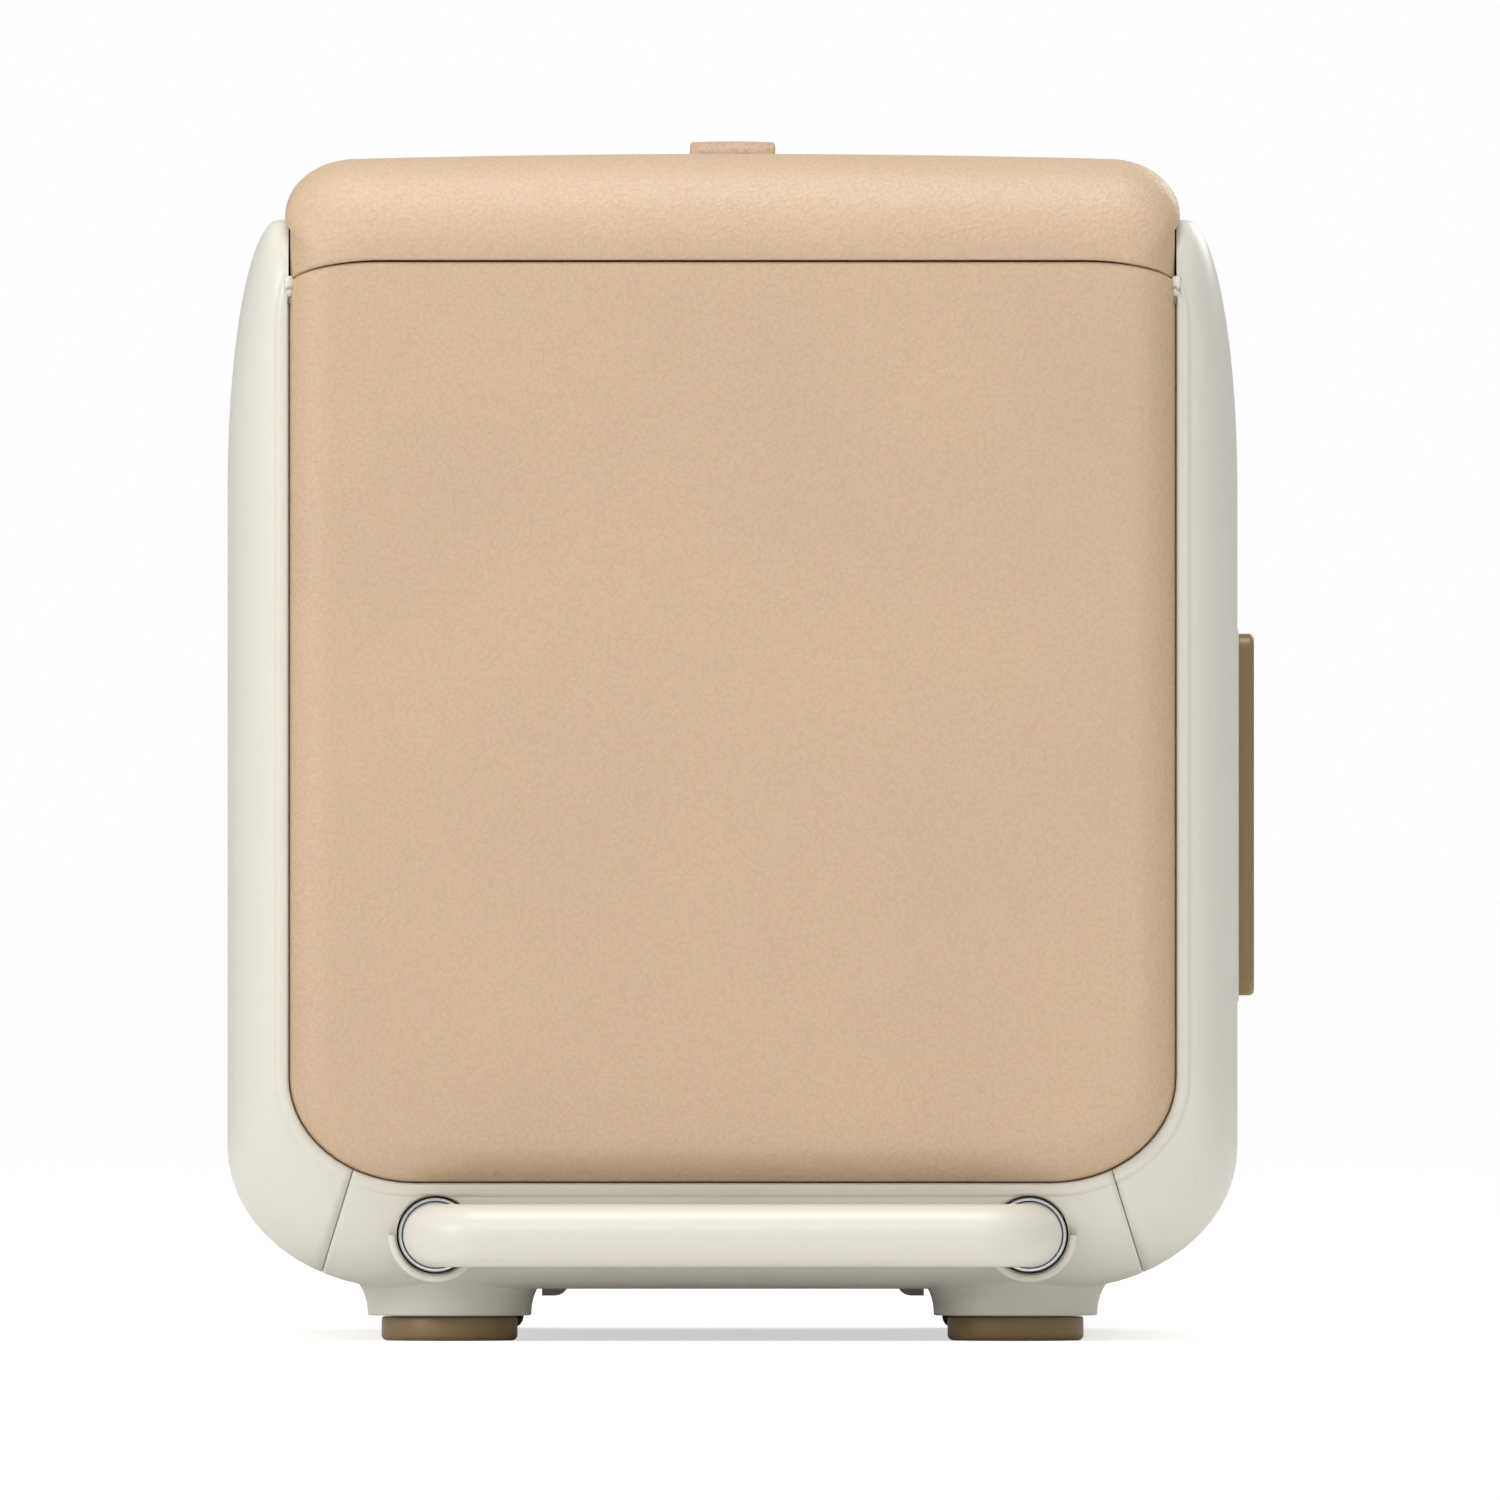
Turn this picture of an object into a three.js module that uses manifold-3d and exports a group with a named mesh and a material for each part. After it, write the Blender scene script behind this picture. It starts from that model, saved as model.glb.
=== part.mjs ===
// A chest-type mini fridge on two feet and two wheels. Its lid is hinged at the rear end, a telescopic pull
// handle slides out low on the front end, and a control panel stands on the right side.
// Millimetres: +X is the right side, +Y the rear (hinge) end and +Z up. Pieces are placed with the floor at
// z = 0 and x = y = 0 at the middle of the cabinet; the last lines move the origin under the whole fridge.
import * as THREE from "three";
import { mergeVertices } from "three/addons/utils/BufferGeometryUtils.js";
import Module from "manifold-3d";

const wasm = await Module();
wasm.setup();

// ---------------------------------------------------------------- driving dimensions

const fit = 0.3; // gap between pieces that rest on or in each other
const wall = 3; // moulded covers
const reach = 1000; // longer than the fridge: for cuts that go right through

// Cabinet
const cabinetWidth = 344;
const cabinetLength = 550; // over the crowns of the end panels
const panelProud = 11; // crown of an end panel beyond its frame
const underside = 17.7;
const shellTop = 381.8; // tips of the side shells
const seamHeight = 367.5; // parting between the lid and an end panel
const lowerCorner = { across: 60, up: 48.3 };
const shoulder = { across: 17.6, up: 92 };
const planCorner = { across: 20, along: 38 };
const nose = { along: 42, up: 36.3 }; // round under each end
const shellTopEnd = 25; // round at the ends of a shell's top
const rimInner = 2.5; // thickness of the upright inside a shell's top

// End opening, its bead and its panel
const frameWidth = 21; // cabinet side to opening
const openingBottom = 54;
const openingCorner = { across: 43, up: 36 };
const bead = { width: 4.7, proud: 1.2 };
const panelGap = 0.4;
const panelRound = { across: 15, along: 14 };
const panelBack = 18.5; // crown to the panel's inner edge
const panelRail = 22; // solid bar along the top of a panel
const seamDip = { across: 31, down: 8.7 };

// Joints between the base cover and the side shells
const baseSeam = { topIn: 43.6, topHeight: 60, bottomIn: 25, bottomHeight: 0 }; // from the cabinet's sides

// Lid
const lidHeight = 22.4; // crown above the shell tips
const lidSideGap = 0.6;
const lidFlare = { out: 1.8, above: 1.7 }; // lid widens over the shell tips
const lidCorner = { across: 24.2, up: 19 };
const lidCrownRise = 1.7;
const lidEndRound = 33;
const lidPlanCorner = 16;
const scoop = { halfWidth: 33, halfLength: 75, depth: 14 };

// Lid strap
const strap = { width: 29.2, thickness: 3, span: 200, rise: 5.8, bend: 5, tail: 8 };
const strapClamp = { across: 44, along: 16, thickness: 6 };

// Inner lining, seal and insulation
const insulation = { side: 24, front: 57, rear: 60, deepRear: 170 }; // opening or crown to the storage space
const storage = { floor: 92, shelf: 225, corner: 22 };
const lining = 2;
const flangeHeight = 350;
const flangeThickness = 2.7;
const gasket = { inner: 2.5, width: 13.5, height: 6.2 };
const plugDepth = 14;
const plugGap = 5;
const innerPlate = 2.5;
const foamSideGap = 9; // inside of a shell to the foam
const foamClearance = 3; // to the shells' curved corners
const foamInset = 20; // crown of an end panel to the foam's end
const evaporator = { gap: 0.5, thickness: 1.5, bottom: 110, top: 215, short: 18 };
const baySize = { sideFoam: 20, depth: 145, top: 195 }; // compressor bay at the rear

// Telescopic handle
const tubeInset = 71; // a handle tube's axis, from the cabinet's side
const tubeHeight = 36.4;
const guideTube = { radius: 12.7, wall: 1.2, wheelGap: 15.5 };
const middleTube = { radius: 11.2, wall: 1.1, shorter: 25 }; // than the guide tubes
const innerTube = { radius: 9.8, wall: 1.2, shorter: 37 };
const anchorBar = { beyond: 6, behind: 4, along: 22, height: 28 };
const socketRadius = 13.7;
const collarRadius = 16.15;
const grip = { radius: 10.7, bend: 16, standoff: 28, spigot: 18 };
const releaseButton = { across: 36, height: 9, travel: 3, depth: 7 };

// Feet and wheels
const foot = { inset: 75.5, front: 59, radius: 23.2, height: 8.5, stem: 6, round: 2 };
const bossProfile = [
  [28, 0],
  [28.6, 3.5],
  [30, 6.5],
  [32.5, 10.5],
  [36.5, 13.5],
];
const wheel = { inset: 84.75, radius: 24, width: 29, fromRear: 52, shoulder: 4.5 };
const hubRadius = 16.7;
const axleRadius = 4;
const wellWall = 2.5;
const wellGap = 3.2; // beside the wheel
const wellSweep = 4.5; // round the tread
const wellHeadroom = 3.5; // above it
const wellOutside = 2; // more room on the outer side
const bracket = { thickness: 9.5, drop: 6.2, along: 34, corner: 5 };

// Hinges
const hinge = { inset: 77, length: 44, middle: 19.2, radius: 4.5, pin: 2 };
const hingePlate = { thickness: 3.2, up: 19, down: 30, overLid: 4 };

// Control panel on the right side
const panel = { middle: -110, width: 62, bottom: 117.3, height: 123.8, proud: 6.4, corner: 6, edge: 1.7 };
const panelRim = { width: 2.7, proud: 1.2 };
const windowSize = { across: 38, up: 34, below: 12, thickness: 1.5 };
const button = { radius: 6.5, flange: 8, pitch: 20, lowest: 15.5, travel: 0.8, sunk: 0.2 };

// ---------------------------------------------------------------- values worked out from them

const halfWidth = cabinetWidth / 2;
const crownY = cabinetLength / 2;
const frameY = crownY - panelProud;
const openingHalf = halfWidth - frameWidth;
const lidCrown = shellTop + lidHeight;
const tubeX = halfWidth - tubeInset;
const foamEnd = crownY - foamInset;
const foamHalfWidth = halfWidth - wall - foamSideGap;
const tub = {
  ...storage,
  halfWidth: openingHalf - insulation.side,
  front: crownY - insulation.front,
  rear: crownY - insulation.rear,
  deepRear: crownY - insulation.deepRear,
};
const bay = { halfWidth: foamHalfWidth - baySize.sideFoam, front: crownY - baySize.depth, top: baySize.top };
const flangeTop = flangeHeight + flangeThickness;
const plateBottom = flangeTop + fit + gasket.height + fit;
const plateEnd = crownY - panelBack - 4.5;
const tubeMouth = frameY - 7; // mouths of the guide tubes, just inside the front wall
const wheelX = halfWidth - wheel.inset;
const wheelY = frameY - wheel.fromRear;
const hingeY = crownY + hinge.radius + 1;
const hingeZ = seamHeight - 2.5;
const bossBottom = foot.height;
const wellTop = 2 * wheel.radius + wellHeadroom + wellWall;

const sides = [
  ["left", -1],
  ["right", 1],
];

// ---------------------------------------------------------------- finishes

const finish = (color, roughness, metalness = 0) =>
  new THREE.MeshStandardMaterial({ color, roughness, metalness });
const cream = finish(0xe2dfd3, 0.42);
const tan = finish(0xcfb593, 0.62);
const brown = finish(0x7d684b, 0.45, 0.3);
const chrome = finish(0xd8dadc, 0.12, 1);
const rubber = finish(0x1c1c1c, 0.85);
const whiteLining = finish(0xf1f1ee, 0.3);
const foam = finish(0xe8dcae, 0.95);
const steel = finish(0x9b9da0, 0.35, 1);
const copper = finish(0xb87450, 0.3, 1);
const circuit = finish(0x2f5d3c, 0.6);
const darkGlass = finish(0x121314, 0.08);
const darkPlastic = finish(0x55514a, 0.6);
const lampLens = finish(0xfafaf5, 0.2);
const greySeal = finish(0xb9b9b4, 0.8);

// ---------------------------------------------------------------- solids from three.js geometry

// A closed geometry as a solid. A mirrored or downward-drawn one is turned right side out.
function solidOf(geometry) {
  const bare = geometry.index ? geometry.toNonIndexed() : geometry.clone();
  bare.deleteAttribute("normal");
  bare.deleteAttribute("uv");
  const merged = mergeVertices(bare, 1e-3);
  const corners = Array.from(merged.index.array);
  const triangles = [];
  for (let i = 0; i < corners.length; i += 3) {
    const [a, b, c] = corners.slice(i, i + 3);
    if (a !== b && b !== c && c !== a) triangles.push([a, b, c]);
  }
  const vertProperties = merged.attributes.position.array;
  const build = (list) => {
    const triVerts = new Uint32Array(list.flat());
    return new wasm.Manifold(new wasm.Mesh({ numProp: 3, vertProperties, triVerts }));
  };
  const solid = build(triangles);
  return solid.volume() < 0 ? build(triangles.map(([a, b, c]) => [a, c, b])) : solid;
}

function geometryOf(solid) {
  const mesh = solid.getMesh();
  const geometry = new THREE.BufferGeometry();
  geometry.setAttribute("position", new THREE.BufferAttribute(new Float32Array(mesh.vertProperties), 3));
  geometry.setIndex(new THREE.BufferAttribute(new Uint32Array(mesh.triVerts), 1));
  geometry.computeVertexNormals();
  return geometry;
}

function add(group, name, solid, material) {
  const mesh = new THREE.Mesh(geometryOf(solid), material);
  mesh.name = name;
  group.add(mesh);
  return mesh;
}

const join = (first, ...others) => others.reduce((sum, next) => sum.add(next), first);
const cut = (first, ...others) => others.reduce((rest, next) => rest.subtract(next), first);

// Shapes drawn in (x, z) are extruded along Y, in (y, z) along X and in (x, y) along Z.
function alongY(shape, from, to, arcs = 3) {
  const options = { depth: to - from, bevelEnabled: false, curveSegments: arcs };
  return solidOf(new THREE.ExtrudeGeometry(shape, options).rotateX(Math.PI / 2).translate(0, to, 0));
}

const yzToX = new THREE.Matrix4().makeBasis(
  new THREE.Vector3(0, 1, 0),
  new THREE.Vector3(0, 0, 1),
  new THREE.Vector3(1, 0, 0),
);

function alongX(shape, from, to, arcs = 3) {
  const options = { depth: to - from, bevelEnabled: false, curveSegments: arcs };
  return solidOf(new THREE.ExtrudeGeometry(shape, options).applyMatrix4(yzToX).translate(from, 0, 0));
}

function alongZ(shape, from, to, arcs = 3) {
  const options = { depth: to - from, bevelEnabled: false, curveSegments: arcs };
  return solidOf(new THREE.ExtrudeGeometry(shape, options).translate(0, 0, from));
}

function box(x0, x1, y0, y1, z0, z1) {
  const geometry = new THREE.BoxGeometry(x1 - x0, y1 - y0, z1 - z0);
  return solidOf(geometry.translate((x0 + x1) / 2, (y0 + y1) / 2, (z0 + z1) / 2));
}

function rodY(radius, x, z, from, to, facets = 24) {
  const geometry = new THREE.CylinderGeometry(radius, radius, to - from, facets);
  return solidOf(geometry.translate(x, (from + to) / 2, z));
}

function rodX(radius, y, z, from, to, facets = 16) {
  const geometry = new THREE.CylinderGeometry(radius, radius, to - from, facets).rotateZ(-Math.PI / 2);
  return solidOf(geometry.translate((from + to) / 2, y, z));
}

function rodZ(radius, x, y, from, to, facets = 16) {
  const geometry = new THREE.CylinderGeometry(radius, radius, to - from, facets).rotateX(Math.PI / 2);
  return solidOf(geometry.translate(x, y, (from + to) / 2));
}

// A turned piece from [radius, height] pairs that start and end on the axis: its height runs along Y.
function turned(profile, facets) {
  return new THREE.LatheGeometry(
    profile.map(([radius, height]) => new THREE.Vector2(radius, height)),
    facets,
  );
}

// Adds a quarter ellipse; quadrant 0 runs from the +horizontal to the +vertical direction.
function quarter(shape, x, y, radiusX, radiusY, quadrant) {
  const start = (quadrant * Math.PI) / 2;
  shape.absellipse(x, y, radiusX, radiusY, start, start + Math.PI / 2, false, 0);
}

function roundedRectangle(x0, x1, y0, y1, radiusX, radiusY = radiusX) {
  const shape = new THREE.Shape();
  shape.moveTo(x0 + radiusX, y0);
  quarter(shape, x1 - radiusX, y0 + radiusY, radiusX, radiusY, -1);
  quarter(shape, x1 - radiusX, y1 - radiusY, radiusX, radiusY, 0);
  quarter(shape, x0 + radiusX, y1 - radiusY, radiusX, radiusY, 1);
  quarter(shape, x0 + radiusX, y0 + radiusY, radiusX, radiusY, 2);
  shape.closePath();
  return shape;
}

// ---------------------------------------------------------------- cabinet form

// The cabinet's outer form, or the same form with its surface moved in by inset.
function cabinetForm(inset) {
  const across = new THREE.Shape();
  const lowX = halfWidth - lowerCorner.across;
  const highX = halfWidth - shoulder.across;
  const low = [underside + lowerCorner.up, lowerCorner.across - inset, lowerCorner.up - inset];
  const high = [shellTop - shoulder.up, shoulder.across - inset, shoulder.up - inset];
  across.moveTo(-lowX, underside + inset);
  quarter(across, lowX, ...low, -1);
  quarter(across, highX, ...high, 0);
  quarter(across, -highX, ...high, 1);
  quarter(across, -lowX, ...low, 2);
  across.closePath();

  const along = new THREE.Shape();
  const noseY = frameY - nose.along;
  const topY = frameY - shellTopEnd;
  const under = [underside + nose.up, nose.along - inset, nose.up - inset];
  const over = [shellTop - shellTopEnd, shellTopEnd - inset, shellTopEnd - inset];
  along.moveTo(-noseY, underside + inset);
  quarter(along, noseY, ...under, -1);
  quarter(along, topY, ...over, 0);
  quarter(along, -topY, ...over, 1);
  quarter(along, -noseY, ...under, 2);
  along.closePath();

  const x = halfWidth - inset;
  const y = frameY - inset;
  const plan = roundedRectangle(-x, x, -y, y, planCorner.across - inset, planCorner.along - inset);
  return alongY(across, -reach, reach)
    .intersect(alongX(along, -reach, reach))
    .intersect(alongZ(plan, 0, reach, 2));
}

// The opening that an end panel and the lid fill, grown by a margin all round; it runs up past the shells.
function openingOutline(grow) {
  const shape = new THREE.Shape();
  const cornerX = openingHalf - openingCorner.across;
  const corner = [openingBottom + openingCorner.up, openingCorner.across + grow, openingCorner.up + grow];
  shape.moveTo(-cornerX, openingBottom - grow);
  quarter(shape, cornerX, ...corner, -1);
  shape.lineTo(openingHalf + grow, shellTop + 2 * lidHeight);
  shape.lineTo(-openingHalf - grow, shellTop + 2 * lidHeight);
  quarter(shape, -cornerX, ...corner, 2);
  shape.closePath();
  return shape;
}

// Everything below the parting line of the lid, which dips at both sides.
function belowSeam(offset) {
  const shape = new THREE.Shape();
  const dipX = openingHalf - seamDip.across;
  const dipZ = seamHeight - seamDip.down + offset;
  shape.moveTo(-halfWidth, 0);
  shape.lineTo(halfWidth, 0);
  shape.lineTo(halfWidth, dipZ);
  quarter(shape, dipX, dipZ, seamDip.across, seamDip.down, 0);
  quarter(shape, -dipX, dipZ, seamDip.across, seamDip.down, 1);
  shape.lineTo(-halfWidth, dipZ);
  shape.closePath();
  return alongY(shape, -reach, reach);
}

const outerForm = cabinetForm(0);
const innerForm = cabinetForm(wall);

// One thin moulding, with its end openings beaded and its tops turned down inside; it is parted below.
function cabinetMoulding() {
  const opening = alongY(openingOutline(0), -reach, reach, 4);
  const beadRing = cut(
    alongY(openingOutline(bead.width), -reach, reach, 4).intersect(cabinetForm(-bead.proud)),
    opening,
    box(-reach, reach, -frameY + wall, frameY - wall, 0, reach),
    box(-reach, reach, -reach, reach, shellTop, reach),
  );
  const uprights = sides.map(([, side]) => {
    const inner = side * openingHalf;
    const outer = side * (openingHalf + rimInner);
    const [x0, x1] = [Math.min(inner, outer), Math.max(inner, outer)];
    return box(x0, x1, -frameY, frameY, flangeTop + fit, shellTop - wall / 2).intersect(outerForm);
  });
  return join(cut(outerForm, innerForm, opening), beadRing, ...uprights);
}

function baseWedge(grow) {
  const shape = new THREE.Shape();
  const bottom = halfWidth - baseSeam.bottomIn + grow;
  const top = halfWidth - baseSeam.topIn + grow;
  shape.moveTo(-bottom, baseSeam.bottomHeight);
  shape.lineTo(bottom, baseSeam.bottomHeight);
  shape.lineTo(top, baseSeam.topHeight);
  shape.lineTo(-top, baseSeam.topHeight);
  shape.closePath();
  return alongY(shape, -reach, reach);
}

const moulding = cabinetMoulding();

// ---------------------------------------------------------------- side shells

const panelY0 = panel.middle - panel.width / 2;
const panelY1 = panel.middle + panel.width / 2;
const panelTop = panel.bottom + panel.height;

function panelOutline(grow) {
  const corner = panel.corner + grow;
  return roundedRectangle(panelY0 - grow, panelY1 + grow, panel.bottom - grow, panelTop + grow, corner);
}

// Upright air slots in a shell's rear part, level with the compressor bay.
function airSlots(side) {
  const slot = { count: 7, pitch: 11, width: 4, bottom: 88, top: 158, first: 158 };
  return Array.from({ length: slot.count }, (_, i) => {
    const y = slot.first + i * slot.pitch;
    const [x0, x1] = side < 0 ? [-reach, -bay.halfWidth] : [bay.halfWidth, reach];
    return box(x0, x1, y, y + slot.width, slot.bottom, slot.top);
  });
}

function sideShell(side) {
  const half = side < 0 ? box(-reach, 0, -reach, reach, 0, reach) : box(0, reach, -reach, reach, 0, reach);
  const plain = cut(moulding.intersect(half), baseWedge(fit), ...airSlots(side));
  if (side < 0) return plain;
  const rim = alongX(panelOutline(panelRim.width), halfWidth - wall, halfWidth + panelRim.proud, 2);
  const seat = alongX(panelOutline(fit), halfWidth, reach, 2);
  const window = alongX(panelOutline(-4), bay.halfWidth, reach, 2);
  return cut(join(plain, rim), seat, window);
}

// ---------------------------------------------------------------- base cover and foot bosses

const wellX0 = wheelX - wheel.width / 2 - wellGap;
const wellX1 = wheelX + wheel.width / 2 + wellGap + wellOutside;
const wellY0 = wheelY - wheel.radius - wellSweep;
const wellY1 = wheelY + wheel.radius + wellSweep;
const footX = halfWidth - foot.inset;
const footY = -(frameY - foot.front);
const bracketX1 = wellX0 - wellWall - 2 * fit;
const guideRear = wellY0 - guideTube.wheelGap;
const guideLength = guideRear + tubeMouth;
const bracketX0 = bracketX1 - bracket.thickness;

// A span of x measured outwards from the middle plane, on either side.
const mirrored = (side, near, far) => (side < 0 ? [-far, -near] : [near, far]);

// Flared boss under the base that takes a foot's stem.
function footBoss(side) {
  const rim = bossProfile.map(([radius, height]) => [radius, bossBottom + height]);
  const top = underside + nose.up / 2;
  const profile = [[0, bossBottom], ...rim, [rim.at(-1)[0], top], [0, top]];
  const boss = turned(profile, 24).rotateX(Math.PI / 2).translate(side * footX, footY, 0);
  const stemHole = rodZ(foot.stem + fit, side * footX, footY, 0, reach);
  const seatEnd = -frameY + nose.along + fit;
  const collarSeat = rodY(collarRadius + fit, side * tubeX, tubeHeight, -reach, seatEnd, 24);
  return cut(solidOf(boss), cabinetForm(-fit), stemHole, collarSeat);
}

function baseCover() {
  const additions = [];
  const cuts = [];
  for (const [, side] of sides) {
    const lowerHalf = box(-reach, reach, -reach, 0, 0, tubeHeight);
    const collar = rodY(collarRadius, side * tubeX, tubeHeight, -frameY, -frameY + nose.along, 24);
    additions.push(collar.intersect(lowerHalf).subtract(innerForm));
    const [x0, x1] = mirrored(side, wellX0 - wellWall, wellX1 + wellWall);
    const well = box(x0, x1, wellY0 - wellWall, wellY1 + wellWall, underside, wellTop);
    additions.push(well.intersect(outerForm));

    const [inner, outer] = mirrored(side, wellX0, wellX1);
    cuts.push(box(inner, outer, wellY0, wellY1, 0, wellTop - wellWall));
    const [a, b] = mirrored(side, wellX0 - 2 * wellWall, wellX1 + 2 * wellWall);
    cuts.push(rodX(axleRadius + fit, wheelY, wheel.radius, a, b));
    const [c, d] = mirrored(side, bracketX0 - fit, bracketX1 + fit);
    const bracketHalf = bracket.along / 2 + fit;
    cuts.push(box(c, d, wheelY - bracketHalf, wheelY + bracketHalf, 0, wellTop));
    cuts.push(rodY(socketRadius, side * tubeX, tubeHeight, -reach, -frameY + nose.along, 24));
  }
  return cut(join(moulding.intersect(baseWedge(0)), ...additions), ...cuts);
}

// ---------------------------------------------------------------- end panels

// A pillowed block with its round edge towards one end (-1 front, 1 rear).
function pillow(inset, end) {
  const along = panelRound.along - inset;
  const across = panelRound.across - inset;
  const depth = 3 * panelBack;
  const options = {
    depth,
    bevelEnabled: true,
    bevelThickness: along,
    bevelSize: across,
    bevelOffset: -across,
    bevelSegments: 4,
    curveSegments: 4,
  };
  const geometry = new THREE.ExtrudeGeometry(openingOutline(-panelGap - inset), options);
  geometry.rotateX(Math.PI / 2).translate(0, depth + along - crownY + inset, 0);
  return solidOf(end < 0 ? geometry : geometry.scale(1, -1, 1));
}

function endPanel(end) {
  const hollow = cut(
    pillow(wall, end),
    box(-reach, reach, -reach, reach, seamHeight - panelRail, reach),
  );
  const inside = crownY - panelBack;
  const [y0, y1] = end < 0 ? [-inside, reach] : [-reach, inside];
  const back = box(-reach, reach, y0, y1, 0, reach);
  return cut(pillow(0, end), hollow, back).intersect(belowSeam(-fit));
}

const rearProud = 0.6; // grille and socket beyond the rear panel's crown
const inlet = { middle: openingHalf - 43, height: 96, across: 34, up: 26, recess: 12, depth: 24, rim: 5 };
const grille = {
  left: 46 - openingHalf,
  right: inlet.middle - 33,
  bottom: 82,
  top: 150,
  flange: 4,
  plate: 2,
  border: 8,
  slots: 7,
  slotHeight: 4.5,
};
const socketPin = { radius: 1.6, pitch: 10, short: 3 };

// The rear panel's vent: a slotted plate with a flange behind the panel's skin.
function ventGrille() {
  const { left, right, bottom, top, flange, border, slotHeight } = grille;
  const back = crownY - wall - fit;
  const plate = box(left + fit, right - fit, back - grille.plate, crownY + rearProud, bottom + fit, top - fit);
  const lip = box(left - flange, right + flange, back - grille.plate, back, bottom - flange, top + flange);
  const pitch = (top - bottom - border) / grille.slots;
  const slots = Array.from({ length: grille.slots }, (_, i) => {
    const z = bottom + border / 2 + pitch * (i + 0.5);
    return box(left + border, right - border, 0, reach, z - slotHeight / 2, z + slotHeight / 2);
  });
  return cut(join(plate, lip), ...slots);
}

// The supply socket: a recessed housing with two pins.
function powerInlet() {
  const { middle, height, across, up, recess, depth, rim } = inlet;
  const front = crownY + rearProud;
  const [halfX, halfZ] = [across / 2, up / 2];
  const housing = box(middle - halfX, middle + halfX, front - depth, front, height - halfZ, height + halfZ);
  const [holeX, holeZ] = [halfX - rim, halfZ - rim];
  const hollow = box(middle - holeX, middle + holeX, front - recess, reach, height - holeZ, height + holeZ);
  const pins = sides.map(([, side]) => {
    const x = middle + (side * socketPin.pitch) / 2;
    return rodY(socketPin.radius, x, height, front - recess - 1, front - socketPin.short, 12);
  });
  return join(housing.subtract(hollow), ...pins);
}

function rearPanel() {
  const { left, right, bottom, top } = grille;
  const halfX = inlet.across / 2 + fit;
  const halfZ = inlet.up / 2 + fit;
  return cut(
    endPanel(1),
    box(left, right, 0, reach, bottom, top),
    box(inlet.middle - halfX, inlet.middle + halfX, 0, reach, inlet.height - halfZ, inlet.height + halfZ),
  );
}

// ---------------------------------------------------------------- lining, foam and cold plate

// The storage space: a deep well in front and a shallow shelf over the compressor bay.
function tubSpace() {
  const { halfWidth: half, front, deepRear, rear, floor, shelf, corner } = tub;
  const deep = roundedRectangle(-half, half, -front, deepRear, corner);
  const whole = roundedRectangle(-half, half, -front, rear, corner);
  return join(alongZ(deep, floor, shelf + corner, 2), alongZ(whole, shelf, reach, 2));
}

function innerLiner() {
  const { halfWidth: half, front, deepRear, rear, floor, shelf, corner } = tub;
  const shellPlan = (back) =>
    roundedRectangle(-half - lining, half + lining, -front - lining, back + lining, corner + lining);
  const outside = join(
    alongZ(shellPlan(deepRear), floor - lining, shelf + corner, 2),
    alongZ(shellPlan(rear), shelf - lining, flangeTop, 2),
  );
  const flange = box(
    -openingHalf + 4 * fit,
    openingHalf - 4 * fit,
    -crownY + panelBack + 2 * fit,
    crownY - panelBack - 2 * fit,
    flangeHeight,
    flangeTop,
  );
  return cut(join(outside, flange), tubSpace());
}

function insulationFoam() {
  const { front, deepRear, rear, floor, shelf, halfWidth: half } = tub;
  const coldSide = half + lining + evaporator.gap + evaporator.thickness + fit;
  const liningSide = half + lining + fit;
  const bottom = openingBottom + fit;
  const line = suctionLine;
  const round = line.sleeve;
  const outline = box(-foamHalfWidth, foamHalfWidth, -foamEnd, foamEnd, bottom, flangeHeight - fit);
  const block = outline.intersect(cabinetForm(wall + foamClearance));
  return cut(
    block,
    box(-coldSide, coldSide, -front - lining - fit, deepRear + coldSide - half, floor - lining - fit, shelf),
    box(-liningSide, liningSide, -front - lining - fit, rear + lining + fit, shelf - lining - fit, reach),
    box(-bay.halfWidth, bay.halfWidth, bay.front, reach, 0, bay.top),
    box(line.x - round, line.x + round, 0, bay.front + 1, line.top - round, line.top + round),
  );
}

// Aluminium cold plate, bent round three sides of the lining's deep part.
function evaporatorPlate() {
  const inner = tub.halfWidth + lining + evaporator.gap;
  const outer = inner + evaporator.thickness;
  const rearInner = tub.deepRear + lining + evaporator.gap;
  const coldFront = tub.front - evaporator.short;
  const shape = new THREE.Shape();
  shape.moveTo(-outer, -coldFront);
  shape.lineTo(-inner, -coldFront);
  shape.lineTo(-inner, rearInner);
  shape.lineTo(inner, rearInner);
  shape.lineTo(inner, -coldFront);
  shape.lineTo(outer, -coldFront);
  shape.lineTo(outer, rearInner + evaporator.thickness);
  shape.lineTo(-outer, rearInner + evaporator.thickness);
  shape.closePath();
  return alongZ(shape, evaporator.bottom, evaporator.top);
}

// ---------------------------------------------------------------- compressor bay

const bayFloor = Math.max(openingBottom, wellTop) + 1.5;
const floorPlate = 3;
const bayMiddle = bay.halfWidth / 2 - 5; // middle of each half of the bay, from its middle plane
const compressor = { x: -bayMiddle, y: crownY - 89, radius: 47, top: 168 };
const suctionLine = { x: compressor.x, radius: 3, top: 183, sleeve: 5 };
const fan = { x: bayMiddle, z: 116, size: 80, depth: 20, rear: crownY - 63, bore: 37, hub: 12.5, blades: 5 };
const coil = { half: 47, y: crownY - 50, bottom: 72, pitch: 15, passes: 6, radius: 2.6 };
const board = { x: bayMiddle - 53, y: bay.front + 6, across: 110, bottom: 72, top: 160, thickness: 1.6 };

function tube(path, radius, steps, facets) {
  const section = new THREE.Shape().absarc(0, 0, radius, 0, 2 * Math.PI);
  const options = { steps, bevelEnabled: false, extrudePath: path, curveSegments: facets / 2 };
  return solidOf(new THREE.ExtrudeGeometry(section, options));
}

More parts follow.
